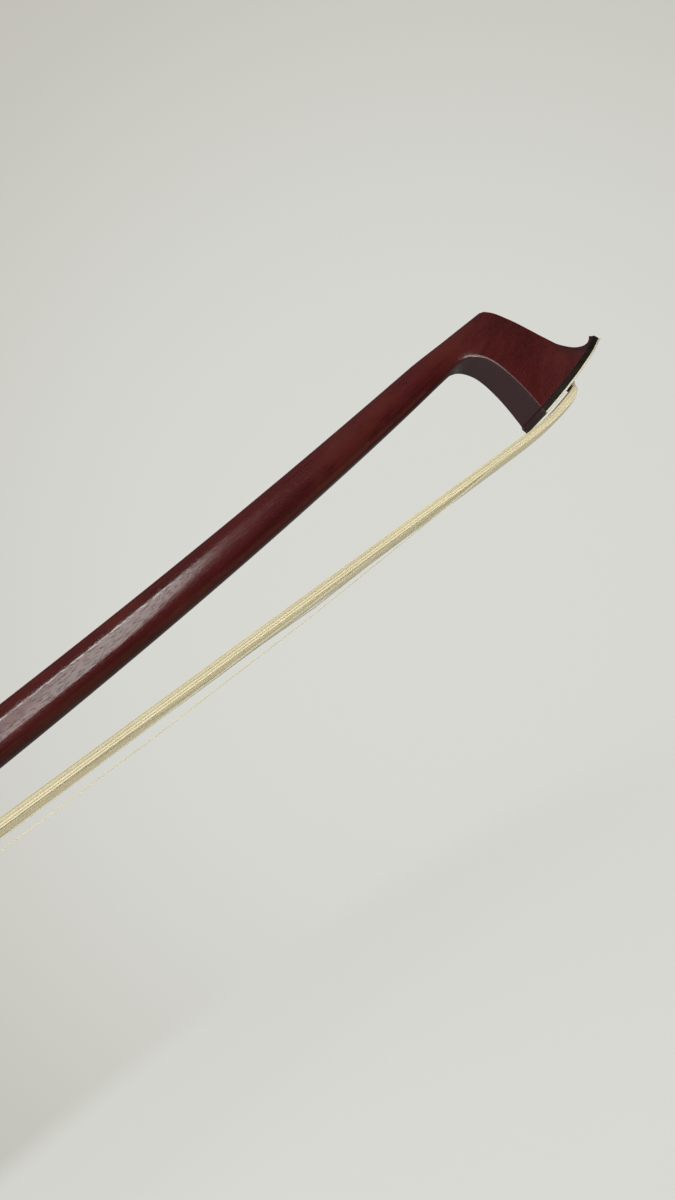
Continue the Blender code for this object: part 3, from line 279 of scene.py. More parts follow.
def stick_radius(x):
    """Half thickness: a logarithm quickens the growth behind the neck, a straight share carries it on."""
    u = np.clip((NECK_X - x) / (NECK_X - CAMBER_START_X), 0.0, 1.0)
    curved = np.log1p(TAPER_QUICKNESS * u) / np.log1p(TAPER_QUICKNESS)
    share = TAPER_CURVED_SHARE * curved + (1 - TAPER_CURVED_SHARE) * u
    return (NECK_DIAMETER + (HANDLE_FLATS - NECK_DIAMETER) * share) / 2


def angle_from_flat(angle):
    """The angle round the axis, counted from the middle of the nearest of the eight flats."""
    return (angle + pi / 8) % (pi / 4) - pi / 8


def octagon_left(x):
    """How much of the octagon the section still has: 1 on the handle, 0 where it is round."""
    return 1 - smooth_step((x - OCTAGON_END_X) / (ROUND_START_X - OCTAGON_END_X))


def stick_surface(x, angle, grow=0.0):
    """Points at stations x and angles round the axis, as a grid.

    The section is square to the centre line. Its radius is the stick's, times one over the
    cosine of the angle from the nearest flat, faded out to a circle past the octagon's end
    and shaved a little at each corner."""
    x, angle = np.meshgrid(x, angle, indexing='ij')
    from_flat = angle_from_flat(angle)
    octagon = 1 / np.cos(from_flat) - 1 - 0.012 * np.exp(-((pi / 8 - np.abs(from_flat)) / 0.05) ** 2)
    radius = (stick_radius(x) + grow) * (1 + octagon_left(x) * octagon)
    tilt = np.arctan(axis_slope(x))
    up = radius * np.sin(angle)
    height = axis_height(x) + up * np.cos(tilt)
    return np.stack([x - up * np.sin(tilt), radius * np.cos(angle), height], axis=-1)


# The head is drawn in its own frame, X along the hair and Z up, from the plate's rear edge.
# The curves' points and the widths by stages are in millimetres. Its sections run on ribs from
# the lower outline to the upper one, and a rib's stage is 0 at the neck, 1 at the peak, 2 at
# the throat's corner and 3 at the end of the beak.

HEAD_TILT = radians(7.8)
HEAD_ANGLE = atan(axis_slope(NECK_X)) - HEAD_TILT
NECK_SPOT = np.array((-12.0, 18.15)) * MM
PEAK = (6.2, 22.47)
FRONT_CURVE = ((7.4, 21.55), (9.4, 19.0), (13.3, 12.6), (15.8, 9.1), (18.1, 7.25), (20.1, 6.72),
               (21.2, 6.93), (22.0, 7.62))
THROAT_ARCH = ((-7.0, 16.03), (-2.0, 16.75), (-0.6, 13.6), (0.1, 9.0))
THROAT_FALL = ((0.1, 9.0), (0.45, 6.9), (0.5, 4.0), (0.42, 0.0))
PLATE_START = 0.42 * MM
PLATE_LENGTH = 23.5 * MM
PLATE_END = PLATE_START + PLATE_LENGTH
PLATE_SLOPE = 0.175
PLATE_BOW = 2.04 * MM
TIP_EASE_LENGTH = 3.9 * MM
TIP_EASE_DROP = 0.35 * MM
TIP_END_LEAN = radians(29.0)
BONE_END = 23.28 * MM
BEAK_END = 23.00 * MM
PLAN_HALF_WIDTHS = ((0.0, 4.0), (0.15, 4.35), (0.35, 4.7), (0.6, 4.3), (0.8, 3.1), (0.9, 1.85),
                    (0.955, 0.95), (1.0, 0.5))
WOOD_OFFSET = 1.30 * MM
PEAK_RIB_SHARE = 0.72
CORNER_RIB_X = 12.2 * MM
THROAT_HALF_WIDTH = 3.45 * MM
SHOULDER_HALF_WIDTHS = (2.0, 1.9, 1.5, 0.35)
BEVEL_STAGES = (0, 0.6, 0.9, 1.3, 2, 3)
BEVEL_WIDTHS = (0.30, 0.48, 0.46, 0.20, 0.11, 0.11)
ROOF_HEIGHT = 0.9 * MM
CHEEK_BULGE = 0.5 * MM
MORTISE_START = 4.6 * MM
MORTISE_END = 12.0 * MM
MORTISE_DEPTH = 6.0 * MM


def bezier(points, count):
    """A cubic curve: the four control points weighted by the Bernstein polynomials."""
    p = np.array(points)
    t = np.linspace(0.0, 1.0, count)[:, None]
    return (1 - t) ** 3 * p[0] + 3 * t * (1 - t) ** 2 * p[1] + 3 * t ** 2 * (1 - t) * p[2] + t ** 3 * p[3]


def curve_through(points, count=12):
    """Hermite spans through the points, their slopes taken from the neighbours."""
    p = np.array(points, float)
    t = np.r_[0.0, np.cumsum(np.linalg.norm(np.diff(p, axis=0), axis=1))]
    slope = np.gradient(p, t, axis=0)
    h = np.diff(t)[:, None, None]
    u = np.linspace(0.0, 1.0, count + 1)[None, 1:, None]
    spans = ((2 * u ** 3 - 3 * u ** 2 + 1) * p[:-1, None] + (u ** 3 - 2 * u ** 2 + u) * h * slope[:-1, None]
             + (3 * u ** 2 - 2 * u ** 3) * p[1:, None] + (u ** 3 - u ** 2) * h * slope[1:, None])
    return np.vstack([p[:1], spans.reshape(-1, p.shape[1])])


def tip_ease(x):
    """0 up to the last few millimetres of the plate, then straight up to 1 at its end."""
    return np.maximum(x - PLATE_END + TIP_EASE_LENGTH, 0.0) / TIP_EASE_LENGTH


def face_height(x):
    """Height of the plate's outer face: a straight rise and a bow, eased off at the tip."""
    return PLATE_SLOPE * x + PLATE_BOW * (x / PLATE_LENGTH) ** 2 - TIP_EASE_DROP * tip_ease(x) ** 2


def face_offset(x, offset):
    """Points at the given distance above the face, leaning back towards the beak's end."""
    eased = tip_ease(x)
    slope = PLATE_SLOPE + 2 * PLATE_BOW * x / PLATE_LENGTH ** 2 - 2 * TIP_EASE_DROP * eased / TIP_EASE_LENGTH
    tilt = np.arctan(slope) + TIP_END_LEAN * smooth_step(eased)
    return np.stack([x - offset * np.sin(tilt), face_height(x) + offset * np.cos(tilt)], axis=-1)


PLAN_CURVE = curve_through(PLAN_HALF_WIDTHS)


def plan_half_width(x):
    """Half width of the bone plate, from the curve of its plan."""
    return np.interp((x - PLATE_START) / (BONE_END - PLATE_START), PLAN_CURVE[:, 0], PLAN_CURVE[:, 1]) * MM


def head_to_bow(x, y, z):
    """Turns the head's frame by its angle about Y and sets its neck point on the stick's axis."""
    turn = np.array(((cos(HEAD_ANGLE), -sin(HEAD_ANGLE)), (sin(HEAD_ANGLE), cos(HEAD_ANGLE))))
    start = np.array((NECK_X, axis_height(NECK_X))) - turn @ NECK_SPOT
    return np.stack([start[0] + turn[0, 0] * x + turn[0, 1] * z, y + 0 * x,
                     start[1] + turn[1, 0] * x + turn[1, 1] * z], axis=-1)


def outline_stages(breaks):
    """Turns stages into shares of an outline's length, and back. Breaks are the shares at whole stages.

    The shares are the broken line through the breaks, rounded by a moving average 0.4 stages wide."""
    ends = (1.5 * breaks[0] - 0.5 * breaks[1], 1.5 * breaks[3] - 0.5 * breaks[2])
    fine = np.linspace(-0.5, 3.5, 801)
    broken = np.interp(fine, (-0.5, 0, 1, 2, 3, 3.5), (ends[0], *breaks, ends[1]))
    window = np.hanning(83)[1:-1]
    shares = np.convolve(broken, window / window.sum(), 'valid')
    stages = fine[40:-40]
    return lambda stage: np.interp(stage, stages, shares), lambda share: np.interp(share, shares, stages)


def path_lengths(path):
    """Length gone at each point of a path."""
    return np.r_[0.0, np.cumsum(np.linalg.norm(np.diff(path, axis=0), axis=1))]


def head_ribs():
    """Lower and upper ends of the head's ribs, and their stages; the two outlines' corners are hit."""
    up = np.array((-sin(HEAD_TILT), cos(HEAD_TILT))) * NECK_DIAMETER / 2
    arch = bezier(THROAT_ARCH, 80) * MM
    fall = bezier(THROAT_FALL, 60)[1:] * MM
    seat = face_offset(np.linspace(PLATE_START, BEAK_END, 90), WOOD_OFFSET)
    lower = np.vstack([NECK_SPOT - up, arch, fall[fall[:, 1] > seat[0, 1]], seat])
    upper = np.vstack([NECK_SPOT + up, curve_through((PEAK,) + FRONT_CURVE, 20) * MM])
    gone_low, gone_up = path_lengths(lower), path_lengths(upper)
    partner = gone_low[int(PEAK_RIB_SHARE * len(arch))] / gone_low[-1]
    corner = gone_low[-len(seat)] / gone_low[-1]
    peak = gone_up[1] / gone_up[-1]
    front = gone_up[np.argmax(upper[:, 0] > CORNER_RIB_X)] / gone_up[-1]
    share_low, stage_low = outline_stages((0, partner, corner, 1))
    share_up, stage_up = outline_stages((0, peak, front, 1))
    kept = np.array((stage_low(corner), stage_up(peak)))
    stage = np.linspace(0, 3, 151)
    stage = np.sort(np.r_[stage[np.abs(stage[:, None] - kept).min(axis=1) > 0.012], kept])
    low, high = [np.column_stack([np.interp(share(stage) * gone[-1], gone, path[:, k]) for k in (0, 1)])
                 for share, gone, path in ((share_low, gone_low, lower), (share_up, gone_up, upper))]
    return low, high, stage, kept[0]


def head_surface(t):
    """The head as a grid: ribs from the neck to the beak, and t from 0 under to 16 on the ridge.

    On a rib, t 0 to 3 crosses the underside, 3 to 4 its bevel, 4 to 12 climbs the cheek, which
    swells by a sine, and 12 to 16 climbs the chamfer to the ridge. Near the neck it is blended
    with a circle. The cheek's width is smoothed along the head."""
    low, high, stage, corner_stage = head_ribs()
    length = np.linalg.norm(high - low, axis=1)
    along = (high - low) / length[:, None]
    neck_radius = NECK_DIAMETER / 2
    rise = np.interp(stage, (0, 1, corner_stage),
                     (neck_radius, THROAT_HALF_WIDTH, plan_half_width(PLATE_START)))
    base = np.where(stage < corner_stage, rise, plan_half_width(low[:, 0]))[:, None]
    shoulder = np.interp(stage, (0, 1, 2, 3), SHOULDER_HALF_WIDTHS)[:, None] * MM
    length = length[:, None]
    roof = np.minimum(ROOF_HEIGHT, 0.45 * length)
    bevel = np.minimum(np.interp(stage, BEVEL_STAGES, BEVEL_WIDTHS)[:, None] * MM, 0.2 * length)
    bulge = CHEEK_BULGE * np.minimum(1.0, length / (8 * MM))
    under, climb, crown = np.clip(t / 3, 0, 1), np.clip((t - 4) / 8, 0, 1), np.clip((t - 12) / 4, 0, 1)
    edge = np.clip(t - 3, 0, 1)
    y = np.where(t <= 4, (base - bevel) * under + bevel * np.sin(edge * pi / 2),
                 np.where(t <= 12, base + (shoulder - base) * climb + bulge * np.sin(pi * climb),
                          shoulder * (1 - crown)))
    d = np.where(t <= 4, bevel * (1 - np.cos(edge * pi / 2)),
                 np.where(t <= 12, bevel + climb * (length - roof - bevel), length - roof * (1 - crown)))
    window = np.hanning(31)[1:-1]
    padded = np.pad(y, ((14, 14), (0, 0)), 'reflect', reflect_type='odd')
    smooth = np.apply_along_axis(np.convolve, 0, padded, window / window.sum(), 'valid')
    share = smooth_step(climb / 0.3) * smooth_step((1 - climb) / 0.15)
    y = y + (smooth - y) * share
    carved = smooth_step((stage[:, None] - 0.1) / 0.75)
    angle = pi * (t / 16 - 0.5)
    y = neck_radius * np.cos(angle) * (1 - carved) + y * carved
    d = length / 2 * (1 + np.sin(angle)) * (1 - carved) + d * carved
    foot = low[:, None] + along[:, None] * d[..., None]
    half = head_to_bow(foot[..., 0], y, foot[..., 1])
    return np.concatenate([half, half[:, -2:0:-1] * (1, -1, 1)], axis=1)


def grid_faces(rows, columns, meet=False):
    """Quads between neighbouring points of a grid whose rows are closed rings."""
    u = np.arange(rows if meet else rows - 1)[:, None]
    v = np.arange(columns)[None, :]
    after = (u + 1) % rows * columns
    next_v = (v + 1) % columns
    quads = np.stack([u * columns + v, u * columns + next_v, after + next_v, after + v], axis=-1)
    return quads.reshape(-1, 4)


def skin(grid, meet=False):
    """A closed mesh over rings of points: capped at both ends, or joined end to end."""
    rows, columns = grid.shape[:2]
    faces = grid_faces(rows, columns, meet).tolist()
    if not meet:
        faces += [list(range(columns))[::-1], list(range((rows - 1) * columns, rows * columns))]
    mesh = bpy.data.meshes.new("skin")
    mesh.from_pydata(grid.reshape(-1, 3).tolist(), [], faces)
    return mesh


def add_piece(name, mesh, material, body, nodes=(), crease=30):
    """Shows a mesh as a piece: its finish, its body and the nodes that it stands for."""
    mesh.name = name
    mesh.materials.append(material)
    if crease is not None:
        mesh.shade_smooth()
        mesh.set_sharp_from_angle(angle=radians(crease))
    item = put_in_scene(name, mesh)
    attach(item, body)
    if nodes:
        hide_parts(*nodes)
    return item


def block(low, high, tilt=0.0, origin=(0, 0, 0)):
    """A box between two corners, for cutting; tilted about Y and moved to the origin given."""
    low, high = np.array(low), np.array(high)
    corners = np.array([(x, y, z) for x in (0, 1) for y, z in ((0, 0), (1, 0), (1, 1), (0, 1))])
    mesh = skin((low + corners * (high - low)).reshape(2, 4, 3))
    mesh.transform(Matrix.Translation(origin) @ Matrix.Rotation(-tilt, 4, 'Y'))
    return mesh


def bar(radius, start, end, sides=32):
    """A round bar between two points, as two rings."""
    start, end = Vector(start), Vector(end)
    turn = (end - start).to_track_quat('X', 'Z').to_matrix().to_4x4()
    a = once_round(sides) - pi / 2
    ring = np.column_stack([0 * a, radius * np.cos(a), radius * np.sin(a)])
    mesh = skin(np.stack([ring, ring + ((end - start).length, 0, 0)]))
    mesh.transform(Matrix.Translation(start) @ turn)
    return mesh


def evaluated_mesh(item):
    """A new mesh of the object as its modifiers leave it."""
    bpy.context.view_layer.update()
    return bpy.data.meshes.new_from_object(item.evaluated_get(bpy.context.evaluated_depsgraph_get()))


def cut_out(mesh, cutters, operation='DIFFERENCE'):
    """The mesh with each cutter taken out of it, or joined to it."""
    item = put_in_scene("blank", mesh)
    tools = [put_in_scene("tool", cutter) for cutter in cutters]
    for tool in tools:
        modifier = item.modifiers.new("cut", 'BOOLEAN')
        modifier.operation = operation
        modifier.solver = 'EXACT'
        modifier.object = tool
    made = evaluated_mesh(item)
    for spare in [item, *tools]:
        bpy.data.objects.remove(spare)
    return made


def new_material(name):
    """A material, its node tree and its shader."""
    material = bpy.data.materials.new(name)
    material.use_nodes = True
    return material, material.node_tree, material.node_tree.nodes["Principled BSDF"]


def marked(tree, name, output="Fac"):
    """What a mesh keeps under the name for each of its points."""
    return add_node(tree, 'Attribute', {}, output, attribute_name=name)


def stretched(tree, place, scale):
    """The place with each of its coordinates multiplied."""
    return add_node(tree, 'VectorMath', {0: place, 1: scale}, operation='MULTIPLY')


def noise(tree, place, scale, detail, roughness=0.5, distortion=0.0, output="Fac"):
    """Cloudy noise, so many clouds to the unit of the place."""
    inputs = {"Vector": place, "Scale": scale, "Detail": detail, "Roughness": roughness,
              "Distortion": distortion}
    return add_node(tree, 'TexNoise', inputs, output)


def bumped(tree, height, depth, strength=1.0, **over):
    """The surface raised by the height times the depth, over another bump's normal if one is given."""
    return add_node(tree, 'Bump', {"Height": height, "Distance": depth, "Strength": strength, **over})


def grained(name, dark, light, warm, shade_colour, across, along, roughness, gloss, depth):
    """Polished wood: streaks and pores drawn out along the piece's grain attribute.

    Slow patches turn to the warm tone. The painted shade attribute lays a dark painted shade colour over the
    wood, and the matt attribute and the open pores take its polish off."""
    material, tree, shader = new_material(name)
    grain = marked(tree, "grain", "Vector")

    def drawn_out(wide, long, detail):
        scale = (1 / (long * along), 1 / (wide * across), 1 / (wide * across))
        return noise(tree, stretched(tree, grain, scale), 1.0, detail, 0.6)

    pore = drawn_out(0.4, 0.12, 1.0)
    clouds = maths(tree, 'MULTIPLY', drawn_out(12, 4, 2.0), 0.45)
    streaks = maths(tree, 'MULTIPLY_ADD', drawn_out(1, 1, 3.0), 0.55, clouds)
    holes = ranged(tree, pore, 0.30, 0.42)
    pitted = mix(tree, 0.13, ramp(tree, streaks, (0.32, dark), (0.70, light)), holes, 'MULTIPLY')
    brown = ranged(tree, drawn_out(16, 1.3, 2.0), 0.46, 0.68, 0.0, 0.55, 'SMOOTHSTEP')
    warmed = mix(tree, brown, pitted, warm)
    pored = bumped(tree, pore, depth)
    film = maths(tree, 'MULTIPLY_ADD', holes, 0.55, drawn_out(0.6, 0.20, 2.0))
    polish = ranged(tree, marked(tree, "matt"), 0.0, 1.0, gloss, 0.05 * gloss)
    filled = ranged(tree, pore, 0.34, 0.50, 0.45, 1.0)
    feed(tree, shader, {"Base Color": mix(tree, marked(tree, "painted_shade"), warmed, shade_colour), "Normal": pored,
                        "Roughness": roughness, "Specular IOR Level": 0.05,
                        "Coat Weight": maths(tree, 'MULTIPLY', polish, filled),
                        "Coat Normal": bumped(tree, film, 1.7 * depth, Normal=pored),
                        "Coat Roughness": 0.12, "Coat IOR": 1.60})
    return material


# The fourth colour is the painted shade laid on the head's throat.
PERNAMBUCO = grained("pernambuco_polish", (0.024, 0.0027, 0.0027), (0.053, 0.0059, 0.0055),
                     (0.055, 0.0091, 0.0062), (0.052, 0.031, 0.034), 0.35 * MM, 9 * MM, 0.34, 1.0,
                     0.006 * MM)


def mesh_values(mesh, values, field):
    """A vector for each point of the mesh, as rows."""
    rows = np.empty(len(mesh.vertices) * 3)
    values.foreach_get(field, rows)
    return rows.reshape(-1, 3)


def mark(mesh, name, values, kind='FLOAT', field="value"):
    """Keeps a value for each point of the mesh under the name."""
    mesh.attributes.new(name, kind, 'POINT').data.foreach_set(field, values.ravel())


def mark_grain(mesh):
    """Grain coordinates: along the bow, across it, and up from the bent centre line.

    Past the neck the line steepens, so the grain climbs through the head. Painted shade marks the
    head's throat, which faces away from the light: 1 where a point's normal faces back and down.
    The matt share is the painted shade's, or more than half on the side that faces the hair."""
    at = mesh_values(mesh, mesh.vertices, "co")
    facing = mesh_values(mesh, mesh.vertex_normals, "vector")
    past = np.maximum(at[:, 0] - NECK_X, 0.0)
    # Painted shade: the throat, where the normals face back and down, is darkened and greyed.
    painted_shade = smooth_step((facing @ (-0.75, 0, -0.66) - 0.36) / 0.26)
    painted_shade *= smooth_step((at[:, 0] - NECK_X) / (8 * MM))
    painted_shade *= smooth_step((0.58 - np.abs(facing[:, 1])) / 0.28)
    under = smooth_step((-facing[:, 2] - 0.40) / 0.35) * smooth_step((NECK_X + 6 * MM - at[:, 0]) / (8 * MM))
    mark(mesh, "painted_shade", painted_shade)
    mark(mesh, "matt", np.maximum(0.95 * painted_shade, 0.62 * under))
    at[:, 2] -= axis_height(np.minimum(at[:, 0], NECK_X)) + past * axis_slope(NECK_X) + 8.0 * past ** 2
    mark(mesh, "grain", at, 'FLOAT_VECTOR', "vector")


by_corners = [corner + shift for corner in (2, 6, 10, 14) for shift in (-0.3, -0.12, 0.12, 0.3)]
ring_t = np.unique(np.r_[np.linspace(0, 16, 33), 3.2, 3.4, 3.6, 3.8, 11.8, by_corners])
ring_angle = np.r_[ring_t, -ring_t[-2:0:-1]] * pi / 16 - pi / 2
shaft = stick_surface(np.r_[np.linspace(STICK_REAR_X, OCTAGON_END_X, 24),
                            np.linspace(OCTAGON_END_X, NECK_X, 130)[1:]], ring_angle)
nipple = np.stack([np.full(len(ring_angle), STICK_REAR_X), NIPPLE_RADIUS * np.cos(ring_angle),
                   NIPPLE_RADIUS * np.sin(ring_angle)], axis=-1)
whole = np.concatenate([[nipple - (NIPPLE_LENGTH, 0, 0)], [nipple], shaft, head_surface(ring_t)[1:]])
head_place = head_to_bow(0.0, 0.0, 0.0)
nose_side = np.array((tuple(face_offset(22.45 * MM, WOOD_OFFSET - 0.1 * MM)), (21.45 * MM, 8.4 * MM),
                      (25 * MM, 8.4 * MM), (25 * MM, 5.0 * MM)))


def nose_block():
    """The space of the beak's black cap, painted shade for the beak's end face: its outline in the head's
    frame, carried across the head.
    """
    ring = [head_to_bow(nose_side[:, 0], np.full(4, y), nose_side[:, 1]) for y in (-3 * MM, 3 * MM)]
    return skin(np.stack(ring))


def mortise_block(half_width):
    """The space of the head's mortise, as wide as it is in the wood or in the plate."""
    return block((MORTISE_START, -half_width, -MORTISE_DEPTH), (MORTISE_END, half_width, MORTISE_DEPTH),
                 HEAD_ANGLE, head_place)


eyelet_slot = block((-33.55 * MM, -2.25 * MM, -17 * MM), (-23.25 * MM, 2.25 * MM, 2.55 * MM))
screw_bore = bar(1.85 * MM, (-58 * MM, 0, 0), (-29.2 * MM, 0, 0))
pilot_bore = bar(1.75 * MM, (-27 * MM, 0, 0), (-12.5 * MM, 0, 0))
wood = cut_out(skin(whole),
               [eyelet_slot, screw_bore, pilot_bore, mortise_block(2.8 * MM), nose_block()])
mark_grain(wood)
add_piece("stick_wood", wood, PERNAMBUCO, "stick", ["stick"])


# Head lining and face plate. A black ebony lining is glued under the head, and a black ebony cap
# over the end of the beak is painted shade for the beak's shaded end face. Under it lies a thin bone
# plate, its edges rounded over and its end lapped round the lining. Both are pierced by the head's
# mortise, and their rear ends carry painted shade.

PLATE_THICKNESS = 0.36 * MM
LINING_GAP = 0.02 * MM


def strip_grid(start, end, inner, outer, rounding, count=70):
    """A strip along the plate's face between two distances above it, as rings of 24 points.

    Each ring is a box whose corners are quarter circles. Inner and outer may change along it,
    and the half width is the plan's at each point."""
    x = np.linspace(start, end, count)
    rise = (inner(x), outer(x))
    reach = np.minimum(rounding, 0.45 * np.minimum(rise[1] - rise[0], plan_half_width(x)))
    turn = np.linspace(0, pi / 2, 6)
    rings = []
    for side, level, first in ((1, 0, -pi / 2), (1, 1, 0), (-1, 1, pi / 2), (-1, 0, pi)):
        angle = turn[None, :] + first
        d = (rise[level] + (reach if level == 0 else -reach))[:, None] + reach[:, None] * np.sin(angle)
        place = face_offset(x[:, None] + 0 * d, d)
        y = side * (plan_half_width(place[..., 0]) - reach[:, None]) + reach[:, None] * np.cos(angle)
        rings.append(head_to_bow(place[..., 0], y, place[..., 1]))
    return np.concatenate(rings, axis=1)


def mark_end_shade(mesh, start, reach):
    """Painted shade: 1 at the plate's rear end, in the throat's shade, falling to 0 within the reach along
    the head.
    """
    from_head = mesh_values(mesh, mesh.vertices, "co") - head_place
    along = from_head[:, 0] * cos(HEAD_ANGLE) + from_head[:, 2] * sin(HEAD_ANGLE)
    mark(mesh, "painted_shade", 1 - smooth_step((along - start) / reach))


def speckled(name, dark, light, size, roughness, gloss, coat_roughness, depth, stretch=(1, 1, 1),
             specular=0.5):
    """A dense material with a faint mottle: noise in the object's own coordinates, stretched."""
    material, tree, shader = new_material(name)
    place = stretched(tree, object_place(tree), [1 / (size * k) for k in stretch])
    mottle = noise(tree, place, 1.0, 4.0, 0.65)
    feed(tree, shader, {"Base Color": ramp(tree, mottle, (0.35, dark), (0.68, light)),
                        "Normal": bumped(tree, mottle, depth), "Roughness": roughness,
                        "Specular IOR Level": specular, "Coat Weight": gloss,
                        "Coat Roughness": coat_roughness})
    return material


EBONY = speckled("ebony_polish", (0.005, 0.004, 0.0035), (0.012, 0.010, 0.0085), 0.5 * MM,
                 0.42, 0.08, 0.2, 0.01 * MM, (12, 1, 1), 0.15)
BONE = speckled("bone_polish", (0.41, 0.36, 0.275), (0.50, 0.455, 0.375), 0.6 * MM,
                0.35, 0.3, 0.2, 0.006 * MM, (5, 1, 1))
# Painted shade: the rear ends of the bone plate and the lining take the throat's shade, the bone darkened and
# the ebony turned to the throat's dark grey.
for material, blend, end_shade_colour in ((BONE, 'MULTIPLY', (0.10, 0.085, 0.07)),
                              (EBONY, 'MIX', (0.045, 0.028, 0.030))):
    tree = material.node_tree
    shader = tree.nodes["Principled BSDF"]
    clean = shader.inputs["Base Color"].links[0].from_socket
    feed(tree, shader, {"Base Color": mix(tree, marked(tree, "painted_shade"), clean, end_shade_colour, blend)})


def lining_outer(x):
    """The lining fills the space up to the wood, and bites into the beak's cap at its end."""
    return WOOD_OFFSET - LINING_GAP + 0.06 * MM * smooth_step((x - 22.4 * MM) / (0.2 * MM))


def plate_outer(x):
    """The plate is even up to its end, which laps round the lining."""
    return PLATE_THICKNESS * (1 + 1.6 * smooth_step((x - BEAK_END - 0.03 * MM) / (0.10 * MM)))


lining = strip_grid(PLATE_START, BEAK_END, lambda x: PLATE_THICKNESS + LINING_GAP + 0 * x, lining_outer,
                    0.08 * MM)
# Painted shade: the beak's end is cut from the wood and made a black ebony cap in place of its shade.
beak_shade_cap = cut_out(skin(whole), [nose_block()], 'INTERSECT')
lining_mesh = cut_out(skin(lining), [mortise_block(2.1 * MM)])
lining_mesh = cut_out(lining_mesh, [beak_shade_cap], 'UNION')
mark_end_shade(lining_mesh, PLATE_START, 0.10 * MM)
add_piece("head_lining_ebony", lining_mesh, EBONY, "stick", ["head_lining"])
plate = strip_grid(PLATE_START, BONE_END, lambda x: 0 * x, plate_outer, 0.12 * MM, 140)
plate_mesh = cut_out(skin(plate), [mortise_block(2.1 * MM)])
mark_end_shade(plate_mesh, PLATE_START, 0.35 * MM)
add_piece("head_plate_bone", plate_mesh, BONE, "stick", ["head_plate"])


# Head plug and knot. A maple plug driven into the head's mortise flush with the plate locks
# the hair, whose end is whipped with thread and sealed in a knot above it.

def seat_block(start, end, half_width, height, taper, rounding):
    """A plug in the head's frame: a box whose lower face follows the plate, edges rounded by scaling."""
    u = np.linspace(0, 1, 12)
    x = start + (end - start) * u
    soft = rounding * (1 - np.sqrt(np.clip(1 - (1 - np.minimum(u, 1 - u) / 0.12).clip(0, 1) ** 2, 0, 1)))
    half = half_width - soft
    bottom = face_height(x) + soft
    top = height - soft - taper * u
    ring = np.stack([np.stack([x, -half, bottom]), np.stack([x, half, bottom]),
                     np.stack([x, half, top]), np.stack([x, -half, top])])
    return skin(head_to_bow(ring[:, 0].T, ring[:, 1].T, ring[:, 2].T))


MAPLE = speckled("maple_raw", (0.42, 0.28, 0.15), (0.60, 0.46, 0.29), 0.35 * MM,
                 0.62, 0.0, 0.3, 0.01 * MM, (9, 1, 1))
plug = seat_block(4.72 * MM, 11.05 * MM, 2.03 * MM, 3.8 * MM, 0.2 * MM, 0.10 * MM)
add_piece("head_plug_maple", plug, MAPLE, "stick", ["head_plug"])


def whipped_bar(radius, start, end, turns, depth):
    """A bar wound with thread: its radius rises and falls as a sine along it, once a turn."""
    start, end = np.array(start), np.array(end)
    u = np.linspace(0, 1, turns * 6 + 1)
    angle = once_round(20)
    along = (end - start) / np.linalg.norm(end - start)
    side = np.cross(along, (0, 0, 1.0))
    side /= np.linalg.norm(side)
    up = np.cross(side, along)
    r = radius - depth * (0.5 + 0.5 * np.cos(2 * pi * turns * u))
    r[[0, -1]] = radius - 2.5 * depth
    ring = np.cos(angle)[:, None] * side - np.sin(angle)[:, None] * up
    return skin((start + (end - start) * u[:, None])[:, None] + r[:, None, None] * ring)


THREAD = speckled("whipping_thread", (0.30, 0.22, 0.13), (0.44, 0.35, 0.22), 0.1 * MM,
                  0.7, 0.0, 0.3, 0.02 * MM)
knot_ends = head_to_bow(np.array((11.0, 11.0)) * MM, np.array((-2.55, 2.55)) * MM, np.array((5.0, 5.0)) * MM)
knot = whipped_bar(0.75 * MM, *knot_ends, 14, 0.06 * MM)
add_piece("head_knot_whipping", knot, THREAD, "stick", ["head_hair_knot"])


# Hair. About 260 strands of unbleached horsehair in a flat ribbon, round a closed heart: out of
# the head's mortise, back under the plate in a soft bulge, along to the ferrule and up into the
# frog's mortise. Strands differ in tone and thickness, the ribbon's underside is painted lighter
# as painted light, and four have sagged clear of the rest.

STRANDS = 258
LAYERS = 6
BED_COLUMNS = 64
HAIR_SWAY = 0.10 * MM
STRAND_WANDER = 0.035 * MM
HAIR_LENGTH = 0.712
HAIR_RADIUS = 0.10 * MM
FROG_BOTTOM_Z = -26.4 * MM
MOUTH_HAIR_Z = FROG_BOTTOM_Z + 1.30 * MM
CHANNEL_HAIR_Z = -23.35 * MM
FERRULE_LENGTH = 11.8 * MM


